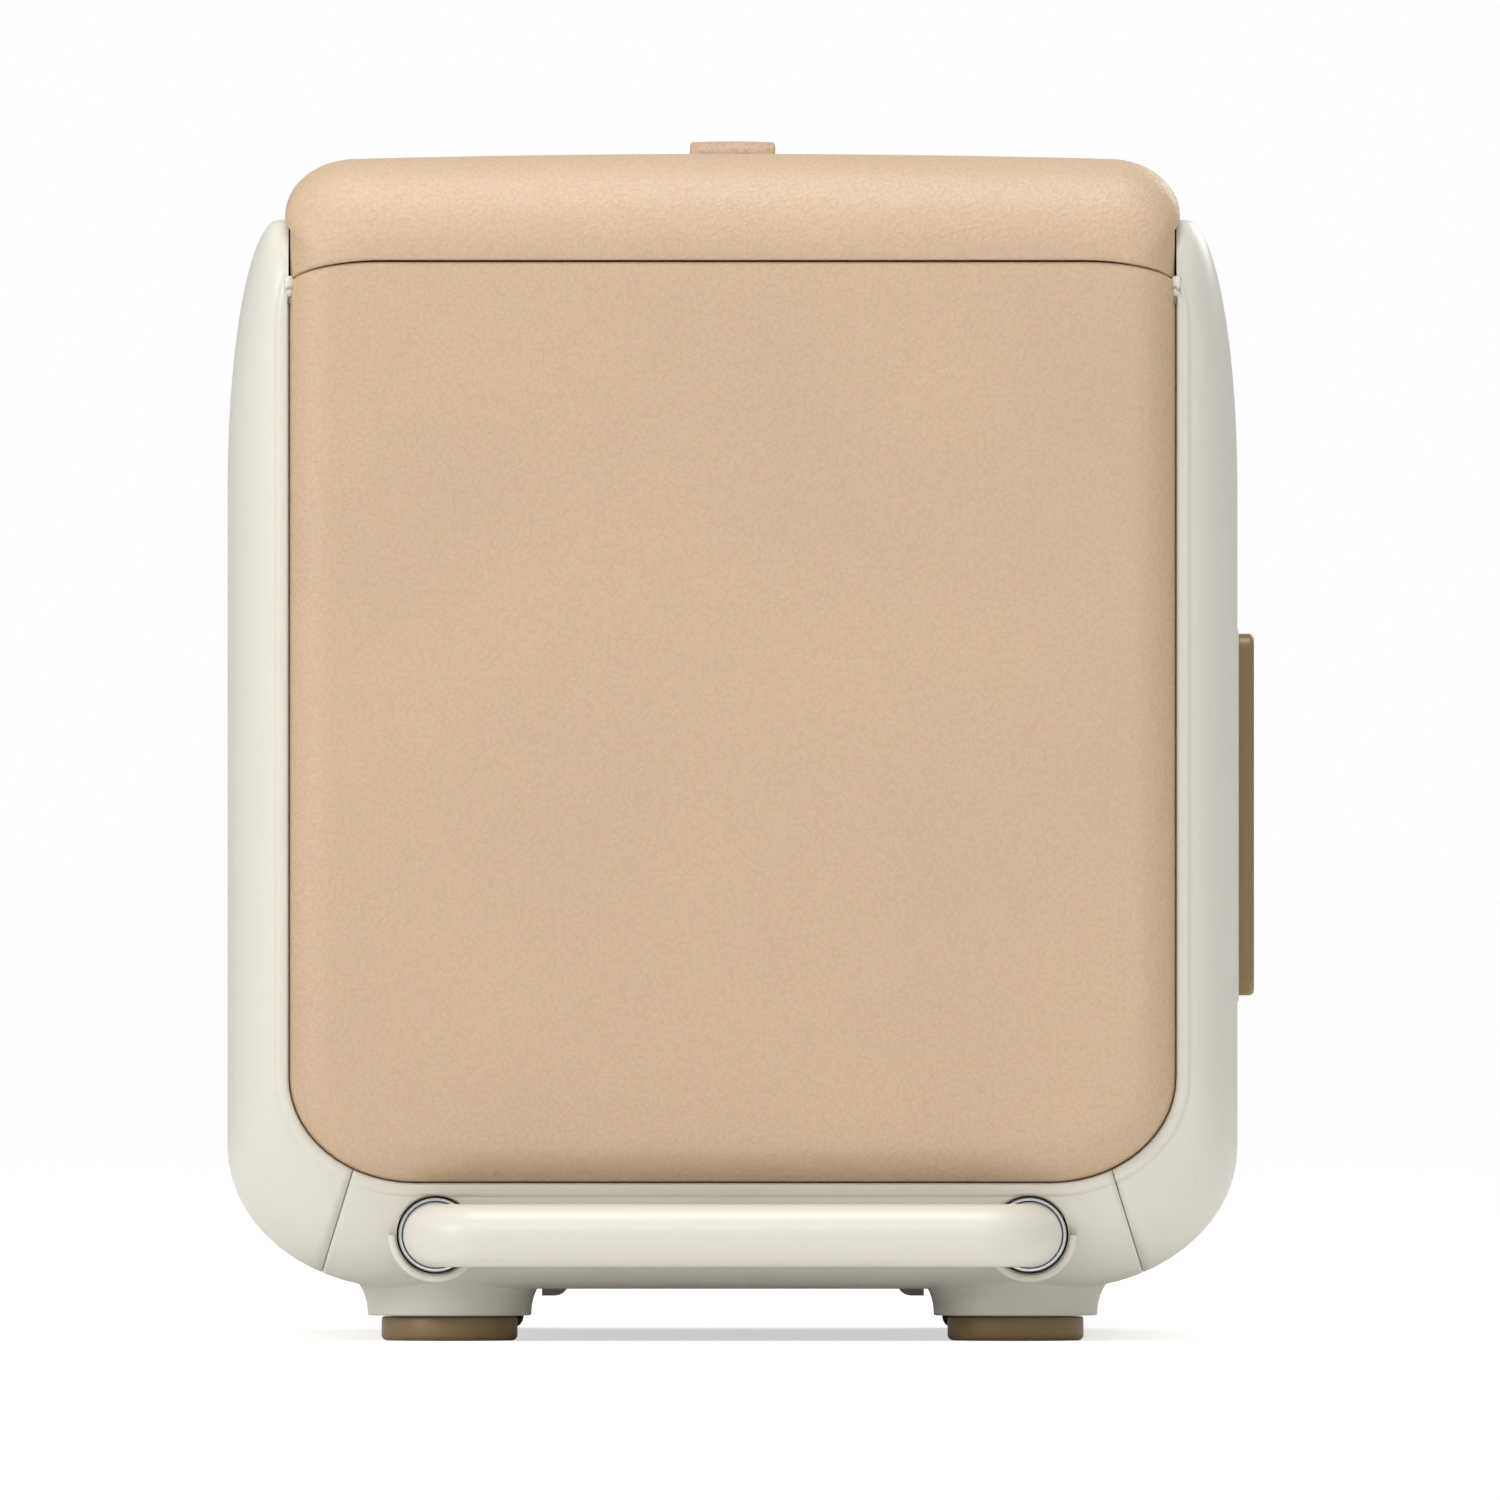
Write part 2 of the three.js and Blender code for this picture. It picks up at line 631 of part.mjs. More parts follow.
function compressorBody() {
  const { radius, top, x, y } = compressor;
  const bottom = bayFloor + floorPlate + fit;
  const dome = [
    [0, bottom],
    [radius - 12, bottom],
    [radius, bottom + 14],
    [radius, top - 26],
    [radius - 6, top - 10],
    [radius - 20, top - 2],
    [0, top],
  ];
  return solidOf(turned(dome, 24).rotateX(Math.PI / 2).translate(x, y, 0));
}

// Copper line from the compressor's top through the foam to the cold plate.
function refrigerantLine() {
  const { x, radius, top } = suctionLine;
  const end = tub.deepRear + lining + evaporator.gap + evaporator.thickness + fit;
  const path = new THREE.CurvePath();
  const rise = new THREE.Vector3(x, compressor.y, compressor.top + fit);
  const bend = new THREE.Vector3(x, compressor.y, top);
  const after = new THREE.Vector3(x, compressor.y - 15, top);
  path.add(new THREE.QuadraticBezierCurve3(rise, bend, after));
  path.add(new THREE.LineCurve3(after, new THREE.Vector3(x, end, top)));
  return tube(path, radius, 14, 8);
}

// Serpentine condenser in front of the fan.
function condenserCoil() {
  const { half, y, bottom, pitch, passes, radius } = coil;
  const [x0, x1] = [fan.x - half, fan.x + half];
  const path = new THREE.CurvePath();
  for (let i = 0; i < passes; i++) {
    const z = bottom + i * pitch;
    const [from, to] = i % 2 ? [x1, x0] : [x0, x1];
    const out = i % 2 ? -pitch : pitch;
    path.add(new THREE.LineCurve3(new THREE.Vector3(from, y, z), new THREE.Vector3(to, y, z)));
    if (i === passes - 1) break;
    path.add(
      new THREE.CubicBezierCurve3(
        new THREE.Vector3(to, y, z),
        new THREE.Vector3(to + 0.66 * out, y, z),
        new THREE.Vector3(to + 0.66 * out, y, z + pitch),
        new THREE.Vector3(to, y, z + pitch),
      ),
    );
  }
  return tube(path, radius, 66, 6);
}

function fanFrame() {
  const { x, z, size, depth, rear, bore, hub } = fan;
  const half = size / 2;
  const frame = box(x - half, x + half, rear - depth, rear, z - half, z + half);
  const struts = join(
    rodY(hub, x, z, rear - 3, rear),
    box(x - half + 1, x + half - 1, rear - 3, rear, z - 2.5, z + 2.5),
    box(x - 2.5, x + 2.5, rear - 3, rear, z - half + 1, z + half - 1),
  );
  return join(frame.subtract(rodY(bore, x, z, 0, reach)), struts);
}

function fanRotor() {
  const { x, z, depth, rear, bore, hub, blades } = fan;
  const front = rear - depth + 1;
  const back = rear - 4;
  const parts = Array.from({ length: blades }, (_, i) => {
    const blade = new THREE.BoxGeometry(bore - 3 - hub / 2, 1.8, back - front);
    blade.rotateX(Math.PI / 2).translate((bore - 3 + hub / 2) / 2, 0, 0);
    blade.rotateX(-0.6).rotateY((i * 2 * Math.PI) / blades);
    return solidOf(blade.translate(x, (front + back) / 2, z));
  });
  return join(rodY(hub, x, z, front, back), ...parts).intersect(rodY(bore - 1.5, x, z, front, back));
}

// Supply board with its transformer, two blocks and a round capacitor.
function powerBoard() {
  const { x, y, across, bottom, top, thickness } = board;
  const seat = y + thickness / 2;
  const block = (from, width, low, height, tall) =>
    box(x + from, x + from + width, seat, y + tall, bottom + low, bottom + low + height);
  return join(
    box(x, x + across, y, y + thickness, bottom, top),
    block(12, 24, 12, 28, 26),
    block(50, 36, 18, 30, 20),
    block(18, 24, 56, 22, 14),
    rodY(7, x + 72, bottom + 68, seat, y + 26, 12),
  );
}

// ---------------------------------------------------------------- lid

// The lid's outer form, or the same form with its surface moved in by inset; it is open downwards.
function lidForm(inset) {
  const nested = openingHalf - lidSideGap - inset;
  const flareZ = shellTop + lidFlare.above;
  const flared = openingHalf - lidSideGap + lidFlare.out - lidCorner.across;
  const floor = flangeHeight - plugDepth - reach / 10;
  const corner = [flareZ, lidCorner.across - inset, lidCorner.up - inset];
  const crownZ = flareZ + lidCorner.up - inset;
  const across = new THREE.Shape();
  across.moveTo(-nested, floor);
  across.lineTo(nested, floor);
  across.lineTo(nested, shellTop + fit - inset / 2);
  quarter(across, flared, ...corner, 0);
  across.quadraticCurveTo(0, crownZ + 2 * lidCrownRise, -flared, crownZ);
  quarter(across, -flared, ...corner, 1);
  across.lineTo(-nested, shellTop + fit - inset / 2);
  across.closePath();

  const along = new THREE.Shape();
  const end = crownY - inset;
  const round = lidEndRound - inset;
  along.moveTo(-end, floor);
  along.lineTo(end, floor);
  quarter(along, crownY - lidEndRound, lidCrown - lidEndRound, round, round, 0);
  quarter(along, lidEndRound - crownY, lidCrown - lidEndRound, round, round, 1);
  along.closePath();

  const x = openingHalf + lidFlare.out - lidSideGap - inset;
  const plan = roundedRectangle(-x, x, -end, end, lidPlanCorner - inset);
  return alongY(across, -reach, reach)
    .intersect(alongX(along, -reach, reach))
    .intersect(alongZ(plan, 0, reach, 2));
}

const oval = (grow) =>
  new THREE.Shape().absellipse(0, 0, scoop.halfWidth + grow, scoop.halfLength + grow, 0, 2 * Math.PI, false, 0);
const strapLegY = strap.span / 2;
const skinBottom = lidCrown - wall;

function lidCover() {
  const shell = cut(lidForm(0), lidForm(wall), belowSeam(fit));
  const scoopFloor = lidCrown - scoop.depth;
  const cup = alongZ(oval(wall), scoopFloor - wall, lidCrown - fit, 8);
  const hollow = alongZ(oval(0), scoopFloor, reach, 8);
  const halfStrap = strap.width / 2 + fit;
  const slots = [-1, 1].map((end) => {
    const outer = end * (strapLegY + fit);
    const inner = end * (strapLegY - strap.thickness - fit);
    return box(-halfStrap, halfStrap, Math.min(outer, inner), Math.max(outer, inner), scoopFloor, reach);
  });
  return cut(join(shell, cup), hollow, ...slots);
}

// Plan of the plug that drops into the storage space, or of the same plug moved in by inset.
function plugOutline(inset) {
  const { halfWidth: half, front, rear, corner } = tub;
  const gap = plugGap + inset;
  return roundedRectangle(-half + gap, half - gap, -front + gap, rear - gap, corner - gap);
}

// Inside cover of the lid: a plate on the seal, a hollow plug and a ledge over each end panel.
function lidInner() {
  const side = openingHalf - lidSideGap - wall - fit;
  const ledgeBottom = seamHeight + 3 * fit;
  const ledgeTop = ledgeBottom + innerPlate;
  const plate = box(-side, side, -plateEnd, plateEnd, plateBottom, plateBottom + innerPlate);
  const plug = alongZ(plugOutline(0), flangeTop - plugDepth, plateBottom + innerPlate, 2);
  const pan = alongZ(plugOutline(innerPlate), flangeTop - plugDepth + innerPlate, reach, 2);
  const ledges = [-1, 1].map((end) => {
    const riser = [end * plateEnd, end * (plateEnd - innerPlate)].sort((a, b) => a - b);
    const ledge = [end * (crownY - wall), end * (plateEnd - innerPlate)].sort((a, b) => a - b);
    return join(
      box(-side, side, ...riser, plateBottom, ledgeTop),
      box(-side, side, ...ledge, ledgeBottom, ledgeTop),
    );
  });
  return cut(join(plate, plug, ...ledges), pan).intersect(lidForm(wall + fit));
}

function lidFoam() {
  const bottom = plateBottom + innerPlate + fit;
  const top = lidCrown - scoop.depth - wall - fit;
  const end = plateEnd - innerPlate - fit;
  const slab = box(-reach, reach, -end, end, bottom, top).intersect(lidForm(wall + fit));
  const filling = flangeTop - plugDepth + innerPlate + fit;
  return join(slab, alongZ(plugOutline(innerPlate + fit), filling, top, 2));
}

function lidGasket() {
  const inner = gasket.inner;
  const outer = gasket.inner + gasket.width;
  const { halfWidth: half, front, rear, corner } = tub;
  const ring = roundedRectangle(-half - outer, half + outer, -front - outer, rear + outer, corner + outer);
  ring.holes.push(
    roundedRectangle(-half - inner, half + inner, -front - inner, rear + inner, corner + inner),
  );
  return alongZ(ring, flangeTop + fit, flangeTop + fit + gasket.height, 2);
}

// Leather strap: a bridge over the scoop whose ends pass through the lid's skin.
function lidStrap() {
  const { width, thickness, rise, bend, tail } = strap;
  const top = lidCrown + rise;
  const foot = skinBottom - tail;
  const shape = new THREE.Shape();
  shape.moveTo(-strapLegY, foot);
  shape.lineTo(-strapLegY + thickness, foot);
  const inner = [top - bend, bend - thickness, bend - thickness];
  const legs = strapLegY - bend;
  const clockwise = (x, z, rx, rz, from, to) => shape.absellipse(x, z, rx, rz, from, to, true, 0);
  clockwise(-legs, ...inner, Math.PI, Math.PI / 2);
  clockwise(legs, ...inner, Math.PI / 2, 0);
  shape.lineTo(strapLegY - thickness, foot);
  shape.lineTo(strapLegY, foot);
  quarter(shape, legs, top - bend, bend, bend, 0);
  quarter(shape, -legs, top - bend, bend, bend, 1);
  shape.closePath();
  return alongX(shape, -width / 2, width / 2, 2);
}

// Clamp block under the lid's skin, round one end of the strap.
function strapClampBlock(end) {
  const middle = end * (strapLegY - strap.thickness / 2);
  const top = skinBottom - fit;
  const bottom = top - strapClamp.thickness;
  const half = strap.width / 2 + fit;
  const slotHalf = strap.thickness / 2 + fit;
  const [halfX, halfY] = [strapClamp.across / 2, strapClamp.along / 2];
  return cut(
    box(-halfX, halfX, middle - halfY, middle + halfY, bottom, top),
    box(-half, half, middle - slotHalf, middle + slotHalf, 0, reach),
    alongZ(oval(wall + fit), 0, reach, 8),
  );
}

// ---------------------------------------------------------------- hinges

const knuckleGap = 0.4;
const knuckleRelief = hinge.radius + knuckleGap;

function hingeBase(side) {
  const x = side * (halfWidth - hinge.inset);
  const [x0, x1] = [x - hinge.length / 2, x + hinge.length / 2];
  const mid = hinge.middle / 2 + knuckleGap;
  const leaf = box(x0, x1, crownY + fit, crownY + fit + hingePlate.thickness, hingeZ - hingePlate.down, hingeZ);
  const knuckles = rodX(hinge.radius, hingeY, hingeZ, x0, x1);
  return cut(
    join(leaf, knuckles),
    rodX(knuckleRelief, hingeY, hingeZ, x - mid, x + mid),
    box(x - mid, x + mid, 0, reach, hingeZ - hinge.radius, reach),
    rodX(hinge.pin + fit, hingeY, hingeZ, -reach, reach, 12),
  );
}

function hingeLeaf(side) {
  const x = side * (halfWidth - hinge.inset);
  const mid = hinge.middle / 2;
  const [x0, x1] = [x - hinge.length / 2, x + hinge.length / 2];
  const leafBottom = hingeZ + hinge.radius + 1;
  const leafBack = crownY + fit + hingePlate.thickness;
  const leafTop = hingeZ + hingePlate.up;
  const leaf = box(x0, x1, crownY - hingePlate.overLid, leafBack, leafBottom, leafTop);
  const tongue = box(x - mid, x + mid, crownY + fit, leafBack, hingeZ, leafTop);
  const knuckle = rodX(hinge.radius, hingeY, hingeZ, x - mid, x + mid);
  return cut(
    join(leaf, tongue, knuckle),
    lidForm(-fit),
    rodX(hinge.pin + fit, hingeY, hingeZ, -reach, reach, 12),
  );
}

function hingePin(side) {
  const x = side * (halfWidth - hinge.inset);
  return rodX(hinge.pin, hingeY, hingeZ, x - hinge.length / 2 - 1, x + hinge.length / 2 + 1, 12);
}

// ---------------------------------------------------------------- telescopic handle

function hollowTube(radius, thickness, from, to) {
  return rodY(radius, 0, 0, from, to).subtract(rodY(radius - thickness, 0, 0, from - 1, to + 1));
}

// Bar across the base that holds the rear ends of both guide tubes.
function tubeAnchorBar() {
  const half = tubeX + guideTube.radius + anchorBar.beyond;
  const rear = guideRear + anchorBar.behind;
  const [low, high] = [tubeHeight - anchorBar.height / 2, tubeHeight + anchorBar.height / 2];
  const block = box(-half, half, rear - anchorBar.along, rear, low, high);
  return cut(
    block,
    ...sides.map(([, side]) => rodY(guideTube.radius + fit, side * tubeX, tubeHeight, 0, reach)),
  );
}

const barY = -(frameY + grip.standoff);
const legEnd = -tubeMouth - 2 * fit;
const buttonReach = barY + grip.radius + 1.2;

function handleGrip() {
  const point = (x, y) => new THREE.Vector3(x, y, tubeHeight);
  const round = grip.bend;
  const ease = 0.5523 * round;
  const path = new THREE.CurvePath();
  const bend = (from, c1, c2, to) => path.add(new THREE.CubicBezierCurve3(from, c1, c2, to));
  const inner = tubeX - round;
  path.add(new THREE.LineCurve3(point(-tubeX, legEnd), point(-tubeX, barY + round)));
  bend(
    point(-tubeX, barY + round),
    point(-tubeX, barY + round - ease),
    point(-inner - ease, barY),
    point(-inner, barY),
  );
  path.add(new THREE.LineCurve3(point(-inner, barY), point(inner, barY)));
  bend(
    point(inner, barY),
    point(inner + ease, barY),
    point(tubeX, barY + round - ease),
    point(tubeX, barY + round),
  );
  path.add(new THREE.LineCurve3(point(tubeX, barY + round), point(tubeX, legEnd)));
  const spigotRadius = innerTube.radius - innerTube.wall - fit;
  const spigots = sides.map(([, side]) =>
    rodY(spigotRadius, side * tubeX, tubeHeight, legEnd - 4, legEnd + grip.spigot),
  );
  const half = releaseButton.across / 2 + fit;
  const halfZ = releaseButton.height / 2 + fit;
  const pocketFloor = buttonReach - releaseButton.depth - releaseButton.travel - fit;
  return cut(
    join(tube(path, grip.radius, 26, 12), ...spigots),
    box(-half, half, pocketFloor, 0, tubeHeight - halfZ, tubeHeight + halfZ),
  );
}

function releaseButtonBar() {
  const half = releaseButton.across / 2;
  const halfZ = releaseButton.height / 2;
  const outline = roundedRectangle(-half, half, tubeHeight - halfZ, tubeHeight + halfZ, halfZ - 0.5);
  return alongY(outline, buttonReach - releaseButton.depth, buttonReach, 2);
}

// ---------------------------------------------------------------- feet and wheels

function rubberFoot() {
  const { radius, height, stem, round } = foot;
  const top = height - fit;
  return turned(
    [
      [0, 0],
      [radius - round, 0],
      [radius - 0.3 * round, 0.3 * round],
      [radius, round],
      [radius, top],
      [stem, top],
      [stem, underside - 2 * fit],
      [0, underside - 2 * fit],
    ],
    32,
  ).rotateX(Math.PI / 2);
}

function wheelBracket(side) {
  const { drop, along, corner } = bracket;
  const shape = new THREE.Shape();
  const bottom = underside - drop;
  shape.moveTo(bracketX1, wellTop - fit);
  shape.lineTo(bracketX0, wellTop - fit);
  shape.lineTo(bracketX0, bottom + corner);
  quarter(shape, bracketX0 + corner, bottom + corner, corner, corner, 2);
  shape.lineTo(bracketX1, bottom);
  shape.closePath();
  const right = alongY(shape, wheelY - along / 2, wheelY + along / 2, 3);
  const bore = rodX(axleRadius + fit, wheelY, wheel.radius, bracketX0 + 3, reach);
  const solid = right.subtract(bore);
  return side > 0 ? solid : solidOf(geometryOf(solid).scale(-1, 1, 1));
}

function wheelTyre() {
  const half = wheel.width / 2;
  const { radius, shoulder: round } = wheel;
  const bore = hubRadius + fit;
  const section = new THREE.Shape();
  section.moveTo(bore, -half);
  quarter(section, radius - round, -half + round, round, round, -1);
  quarter(section, radius - round, half - round, round, round, 0);
  section.lineTo(bore, half);
  section.closePath();
  const points = section.getPoints(1);
  return new THREE.LatheGeometry([...points, points[0]], 32).rotateZ(-Math.PI / 2);
}

function wheelHub() {
  const half = wheel.width / 2;
  const bore = axleRadius + fit + 0.1;
  const profile = [
    [bore, -half - 1],
    [bore + 4, -half - 1],
    [bore + 4, -half + 3],
    [hubRadius - 3, -half + 3],
    [hubRadius, -half],
    [hubRadius, half],
    [hubRadius - 3, half - 3],
    [bore + 4, half - 3],
    [bore + 4, half + 1],
    [bore, half + 1],
    [bore, -half - 1],
  ];
  return turned(profile, 20).rotateZ(-Math.PI / 2);
}

// ---------------------------------------------------------------- control panel

const panelFace = halfWidth + panel.proud;
const panelSeat = halfWidth + fit;
const windowZ1 = panelTop - windowSize.below;
const windowZ0 = windowZ1 - windowSize.up;
const buttonHeights = [0, 1, 2].map((i) => panel.bottom + button.lowest + i * button.pitch);

function controlBezel() {
  const { edge } = panel;
  const geometry = new THREE.ExtrudeGeometry(panelOutline(0), {
    depth: 2 * panel.proud,
    bevelEnabled: true,
    bevelThickness: edge,
    bevelSize: edge,
    bevelOffset: -edge,
    bevelSegments: 2,
    curveSegments: 2,
  });
  const slab = solidOf(geometry.applyMatrix4(yzToX).translate(panelFace - 2 * panel.proud - edge, 0, 0));
  const half = windowSize.across / 2;
  const ledge = 3;
  const seat = panelFace - windowSize.thickness - 2 * fit;
  return cut(
    slab,
    box(0, panelSeat, -reach, reach, 0, reach),
    box(seat, reach, panel.middle - half - fit, panel.middle + half + fit, windowZ0 - fit, windowZ1 + fit),
    box(0, reach, panel.middle - half + ledge, panel.middle + half - ledge, windowZ0 + ledge, windowZ1 - ledge),
    ...buttonHeights.map((z) => rodX(button.radius + fit, panel.middle, z, 0, reach, 24)),
    ...buttonHeights.map((z) => rodX(button.flange + fit, panel.middle, z, 0, halfWidth + 3, 24)),
  );
}

function displayWindow() {
  const half = windowSize.across / 2;
  const front = panelFace - fit;
  return box(front - windowSize.thickness, front, panel.middle - half, panel.middle + half, windowZ0, windowZ1);
}

// A round key with a flange that keeps it behind the bezel and a stem towards its switch.
function panelButton() {
  const face = panelFace - button.sunk - halfWidth;
  const profile = [
    [0, -3.5],
    [2.5, -3.5],
    [2.5, 1.5],
    [button.flange, 1.5],
    [button.flange, 2.7],
    [button.radius, 2.7],
    [button.radius, face - 0.6],
    [button.radius - 0.6, face],
    [0, face],
  ];
  return turned(profile, 16).rotateZ(-Math.PI / 2);
}

function controlBoard() {
  const face = halfWidth - wall - 5.4;
  const board = box(face - 1.6, face, panelY0 + 5, panelY1 - 5, panel.bottom + 8, panelTop - 8);
  const switches = buttonHeights.map((z) => {
    const y = panel.middle;
    return box(face - 0.5, halfWidth - 3.5 - button.travel - fit, y - 3, y + 3, z - 3, z + 3);
  });
  return join(board, ...switches);
}

// ---------------------------------------------------------------- assembly

const fridge = new THREE.Group();
const groups = {};
for (const name of ["cabinet", "lid", "handleMiddle", "handleFront", "wheelLeft", "wheelRight", "controls"]) {
  groups[name] = new THREE.Group();
  fridge.add(groups[name]);
}
const { cabinet, lid, handleMiddle, handleFront, controls } = groups;

for (const [name, side] of sides) {
  add(cabinet, "side_shell_" + name, sideShell(side), cream);
  add(cabinet, "hinge_base_" + name, hingeBase(side), steel);
  add(cabinet, "hinge_pin_" + name, hingePin(side), steel);
  add(cabinet, "wheel_bracket_" + name, wheelBracket(side), cream);
  add(cabinet, "foot_boss_" + name, footBoss(side), cream);
  add(lid, "hinge_leaf_" + name, hingeLeaf(side), steel);

  const [axle0, axle1] = mirrored(side, bracketX0 + 3 + fit, wellX1 + wellWall + 1);
  add(cabinet, "wheel_axle_" + name, rodX(axleRadius, wheelY, wheel.radius, axle0, axle1), steel);

  const footMesh = add(cabinet, "foot_" + name, solidOf(rubberFoot()), brown);
  footMesh.position.set(side * footX, footY, 0);

  const wheelGroup = side < 0 ? groups.wheelLeft : groups.wheelRight;
  wheelGroup.position.set(side * wheelX, wheelY, wheel.radius);
  add(wheelGroup, "wheel_tyre_" + name, solidOf(wheelTyre()), rubber);
  add(wheelGroup, "wheel_hub_" + name, solidOf(wheelHub()), darkPlastic);

  const tubes = [
    [cabinet, "guide_tube_", guideTube, -tubeMouth, guideRear],
    [handleMiddle, "middle_tube_", middleTube, fit - tubeMouth, fit + guideRear - middleTube.shorter],
    [handleFront, "inner_tube_", innerTube, legEnd + fit, legEnd + fit + guideLength - innerTube.shorter],
  ];
  for (const [group, prefix, size, from, to] of tubes) {
    const mesh = add(group, prefix + name, hollowTube(size.radius, size.wall, from, to), chrome);
    mesh.position.set(side * tubeX, 0, tubeHeight);
  }
}

add(cabinet, "base_cover", baseCover(), cream);
add(cabinet, "end_panel_front", endPanel(-1), tan);
add(cabinet, "end_panel_rear", rearPanel(), tan);
add(cabinet, "vent_grille", ventGrille(), brown);
add(cabinet, "power_inlet", powerInlet(), rubber);
add(cabinet, "tube_anchor_bar", tubeAnchorBar(), steel);

const plateRear = wellY0 - wellWall - 2;
const chassisHalf = foamHalfWidth - 5;
const trayHalf = bay.halfWidth - 5;
const trayFront = bay.front + 2;
add(
  cabinet,
  "chassis_plate",
  box(-chassisHalf, chassisHalf, -foamEnd + 15, plateRear, openingBottom - 2.5, openingBottom),
  steel,
);
add(
  cabinet,
  "compressor_tray",
  join(
    box(-trayHalf, trayHalf, trayFront, foamEnd - 9, bayFloor, bayFloor + floorPlate),
    box(-trayHalf, trayHalf, trayFront, trayFront + floorPlate, openingBottom + fit, bayFloor + floorPlate),
  ),
  steel,
);
add(cabinet, "inner_liner", innerLiner(), whiteLining);
add(cabinet, "insulation_foam", insulationFoam(), foam);
add(cabinet, "evaporator_plate", evaporatorPlate(), steel);
add(cabinet, "refrigerant_line", refrigerantLine(), copper);
add(cabinet, "compressor", compressorBody(), rubber);
add(cabinet, "condenser_coil", condenserCoil(), copper);
add(cabinet, "fan_frame", fanFrame(), rubber);
add(cabinet, "fan_rotor", fanRotor(), rubber);
add(cabinet, "power_board", powerBoard(), circuit);
const lamp = { across: 36, up: 12, thickness: 4, height: 306 };
add(
  cabinet,
  "interior_lamp",
  box(
    -lamp.across / 2,
    lamp.across / 2,
    tub.rear - fit - lamp.thickness,
    tub.rear - fit,
    lamp.height,
    lamp.height + lamp.up,
  ),
  lampLens,
);

add(lid, "lid_cover", lidCover(), tan);
add(lid, "lid_inner", lidInner(), whiteLining);
add(lid, "lid_foam", lidFoam(), foam);
add(lid, "lid_gasket", lidGasket(), greySeal);
add(lid, "lid_strap", lidStrap(), tan);
add(lid, "strap_clamp_front", strapClampBlock(-1), steel);
add(lid, "strap_clamp_rear", strapClampBlock(1), steel);

add(handleFront, "handle_grip", handleGrip(), cream);
add(handleFront, "release_button", releaseButtonBar(), brown);

add(controls, "control_bezel", controlBezel(), brown);
add(controls, "display_window", displayWindow(), darkGlass);
add(controls, "control_board", controlBoard(), circuit);
["down", "up", "power"].forEach((name, i) => {
  const mesh = add(controls, "button_" + name, solidOf(panelButton()), cream);
  mesh.position.set(halfWidth, panel.middle, buttonHeights[i]);
});

// The origin is on the floor under the middle of the whole fridge, handle and control panel included.
const extent = new THREE.Box3().setFromObject(fridge);
const middle = extent.getCenter(new THREE.Vector3());
for (const group of fridge.children) group.position.sub(new THREE.Vector3(middle.x, middle.y, extent.min.z));

export default fridge;
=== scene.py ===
from math import copysign, cos, pi, radians, sin, sqrt, tau

import bmesh
import bpy
from mathutils import Matrix, Vector


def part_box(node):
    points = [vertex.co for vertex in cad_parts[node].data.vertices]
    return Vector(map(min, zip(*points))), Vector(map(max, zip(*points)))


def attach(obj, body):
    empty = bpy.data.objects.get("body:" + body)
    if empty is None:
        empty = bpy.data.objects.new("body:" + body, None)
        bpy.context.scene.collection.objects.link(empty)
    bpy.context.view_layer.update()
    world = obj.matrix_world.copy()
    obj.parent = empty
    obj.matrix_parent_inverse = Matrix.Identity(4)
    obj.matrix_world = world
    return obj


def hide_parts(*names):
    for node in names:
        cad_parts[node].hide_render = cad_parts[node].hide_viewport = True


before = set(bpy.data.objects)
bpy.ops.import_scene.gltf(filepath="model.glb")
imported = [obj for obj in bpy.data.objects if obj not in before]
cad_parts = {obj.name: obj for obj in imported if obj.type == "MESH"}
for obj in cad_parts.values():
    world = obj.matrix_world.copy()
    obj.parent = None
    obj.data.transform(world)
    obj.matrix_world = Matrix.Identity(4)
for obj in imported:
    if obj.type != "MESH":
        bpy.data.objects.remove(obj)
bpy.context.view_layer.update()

# ---- cream mouldings
# The cabinet's outside is three satin cream mouldings: a shell on each side and a base cover between them.
# They are injection moulded with a very fine texture, and clip together along two slanted joints at each end.

base_low, base_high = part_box("base_cover")
shell_low, shell_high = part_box("side_shell_left")
MIDDLE = Vector(((base_low.x + base_high.x) / 2, (base_low.y + base_high.y) / 2, 0))
BEAD_WIDTH, BEAD_PROUD = 0.0047, 0.0012
HALF = MIDDLE.x - shell_low.x
FRAME_END = (shell_high.y - shell_low.y) / 2 - BEAD_PROUD
UNDERSIDE, SHELL_TOP = 0.0177, shell_high.z
OPENING_HALF, OPENING_BOTTOM, OPENING_CORNER = HALF - 0.021, 0.054, (0.043, 0.036)
MOULDING_WALL = 0.0016


def shader_node(tree, kind, sockets=(), **settings):
    """Adds a node; a socket's value is either a plain value or another node's output."""
    made = tree.nodes.new("ShaderNode" + kind)
    for name, value in settings.items():
        setattr(made, name, value)
    for name, value in dict(sockets).items():
        if isinstance(value, bpy.types.NodeSocket):
            tree.links.new(value, made.inputs[name])
        else:
            made.inputs[name].default_value = value
    return made


def effect_group(name, inputs):
    """An empty node group with some inputs and their values, for colour, roughness and height."""
    tree = bpy.data.node_groups.new(name, "ShaderNodeTree")
    for label, value in inputs.items():
        kind = "NodeSocketColor" if isinstance(value, tuple) else "NodeSocketFloat"
        tree.interface.new_socket(label, in_out="INPUT", socket_type=kind).default_value = value
    for label, kind in (("Colour", "Color"), ("Roughness", "Float"), ("Height", "Float")):
        tree.interface.new_socket(label, in_out="OUTPUT", socket_type="NodeSocket" + kind)
    return tree, tree.nodes.new("NodeGroupInput").outputs, tree.nodes.new("NodeGroupOutput").inputs


def maths(tree, operation, *values):
    return shader_node(tree, "Math", dict(enumerate(values)), operation=operation).outputs[0]


def noise(tree, spot, scale, detail, output="Fac", **more):
    sockets = {"Vector": spot, "Scale": scale, "Detail": detail, **more}
    return shader_node(tree, "TexNoise", sockets).outputs[output]


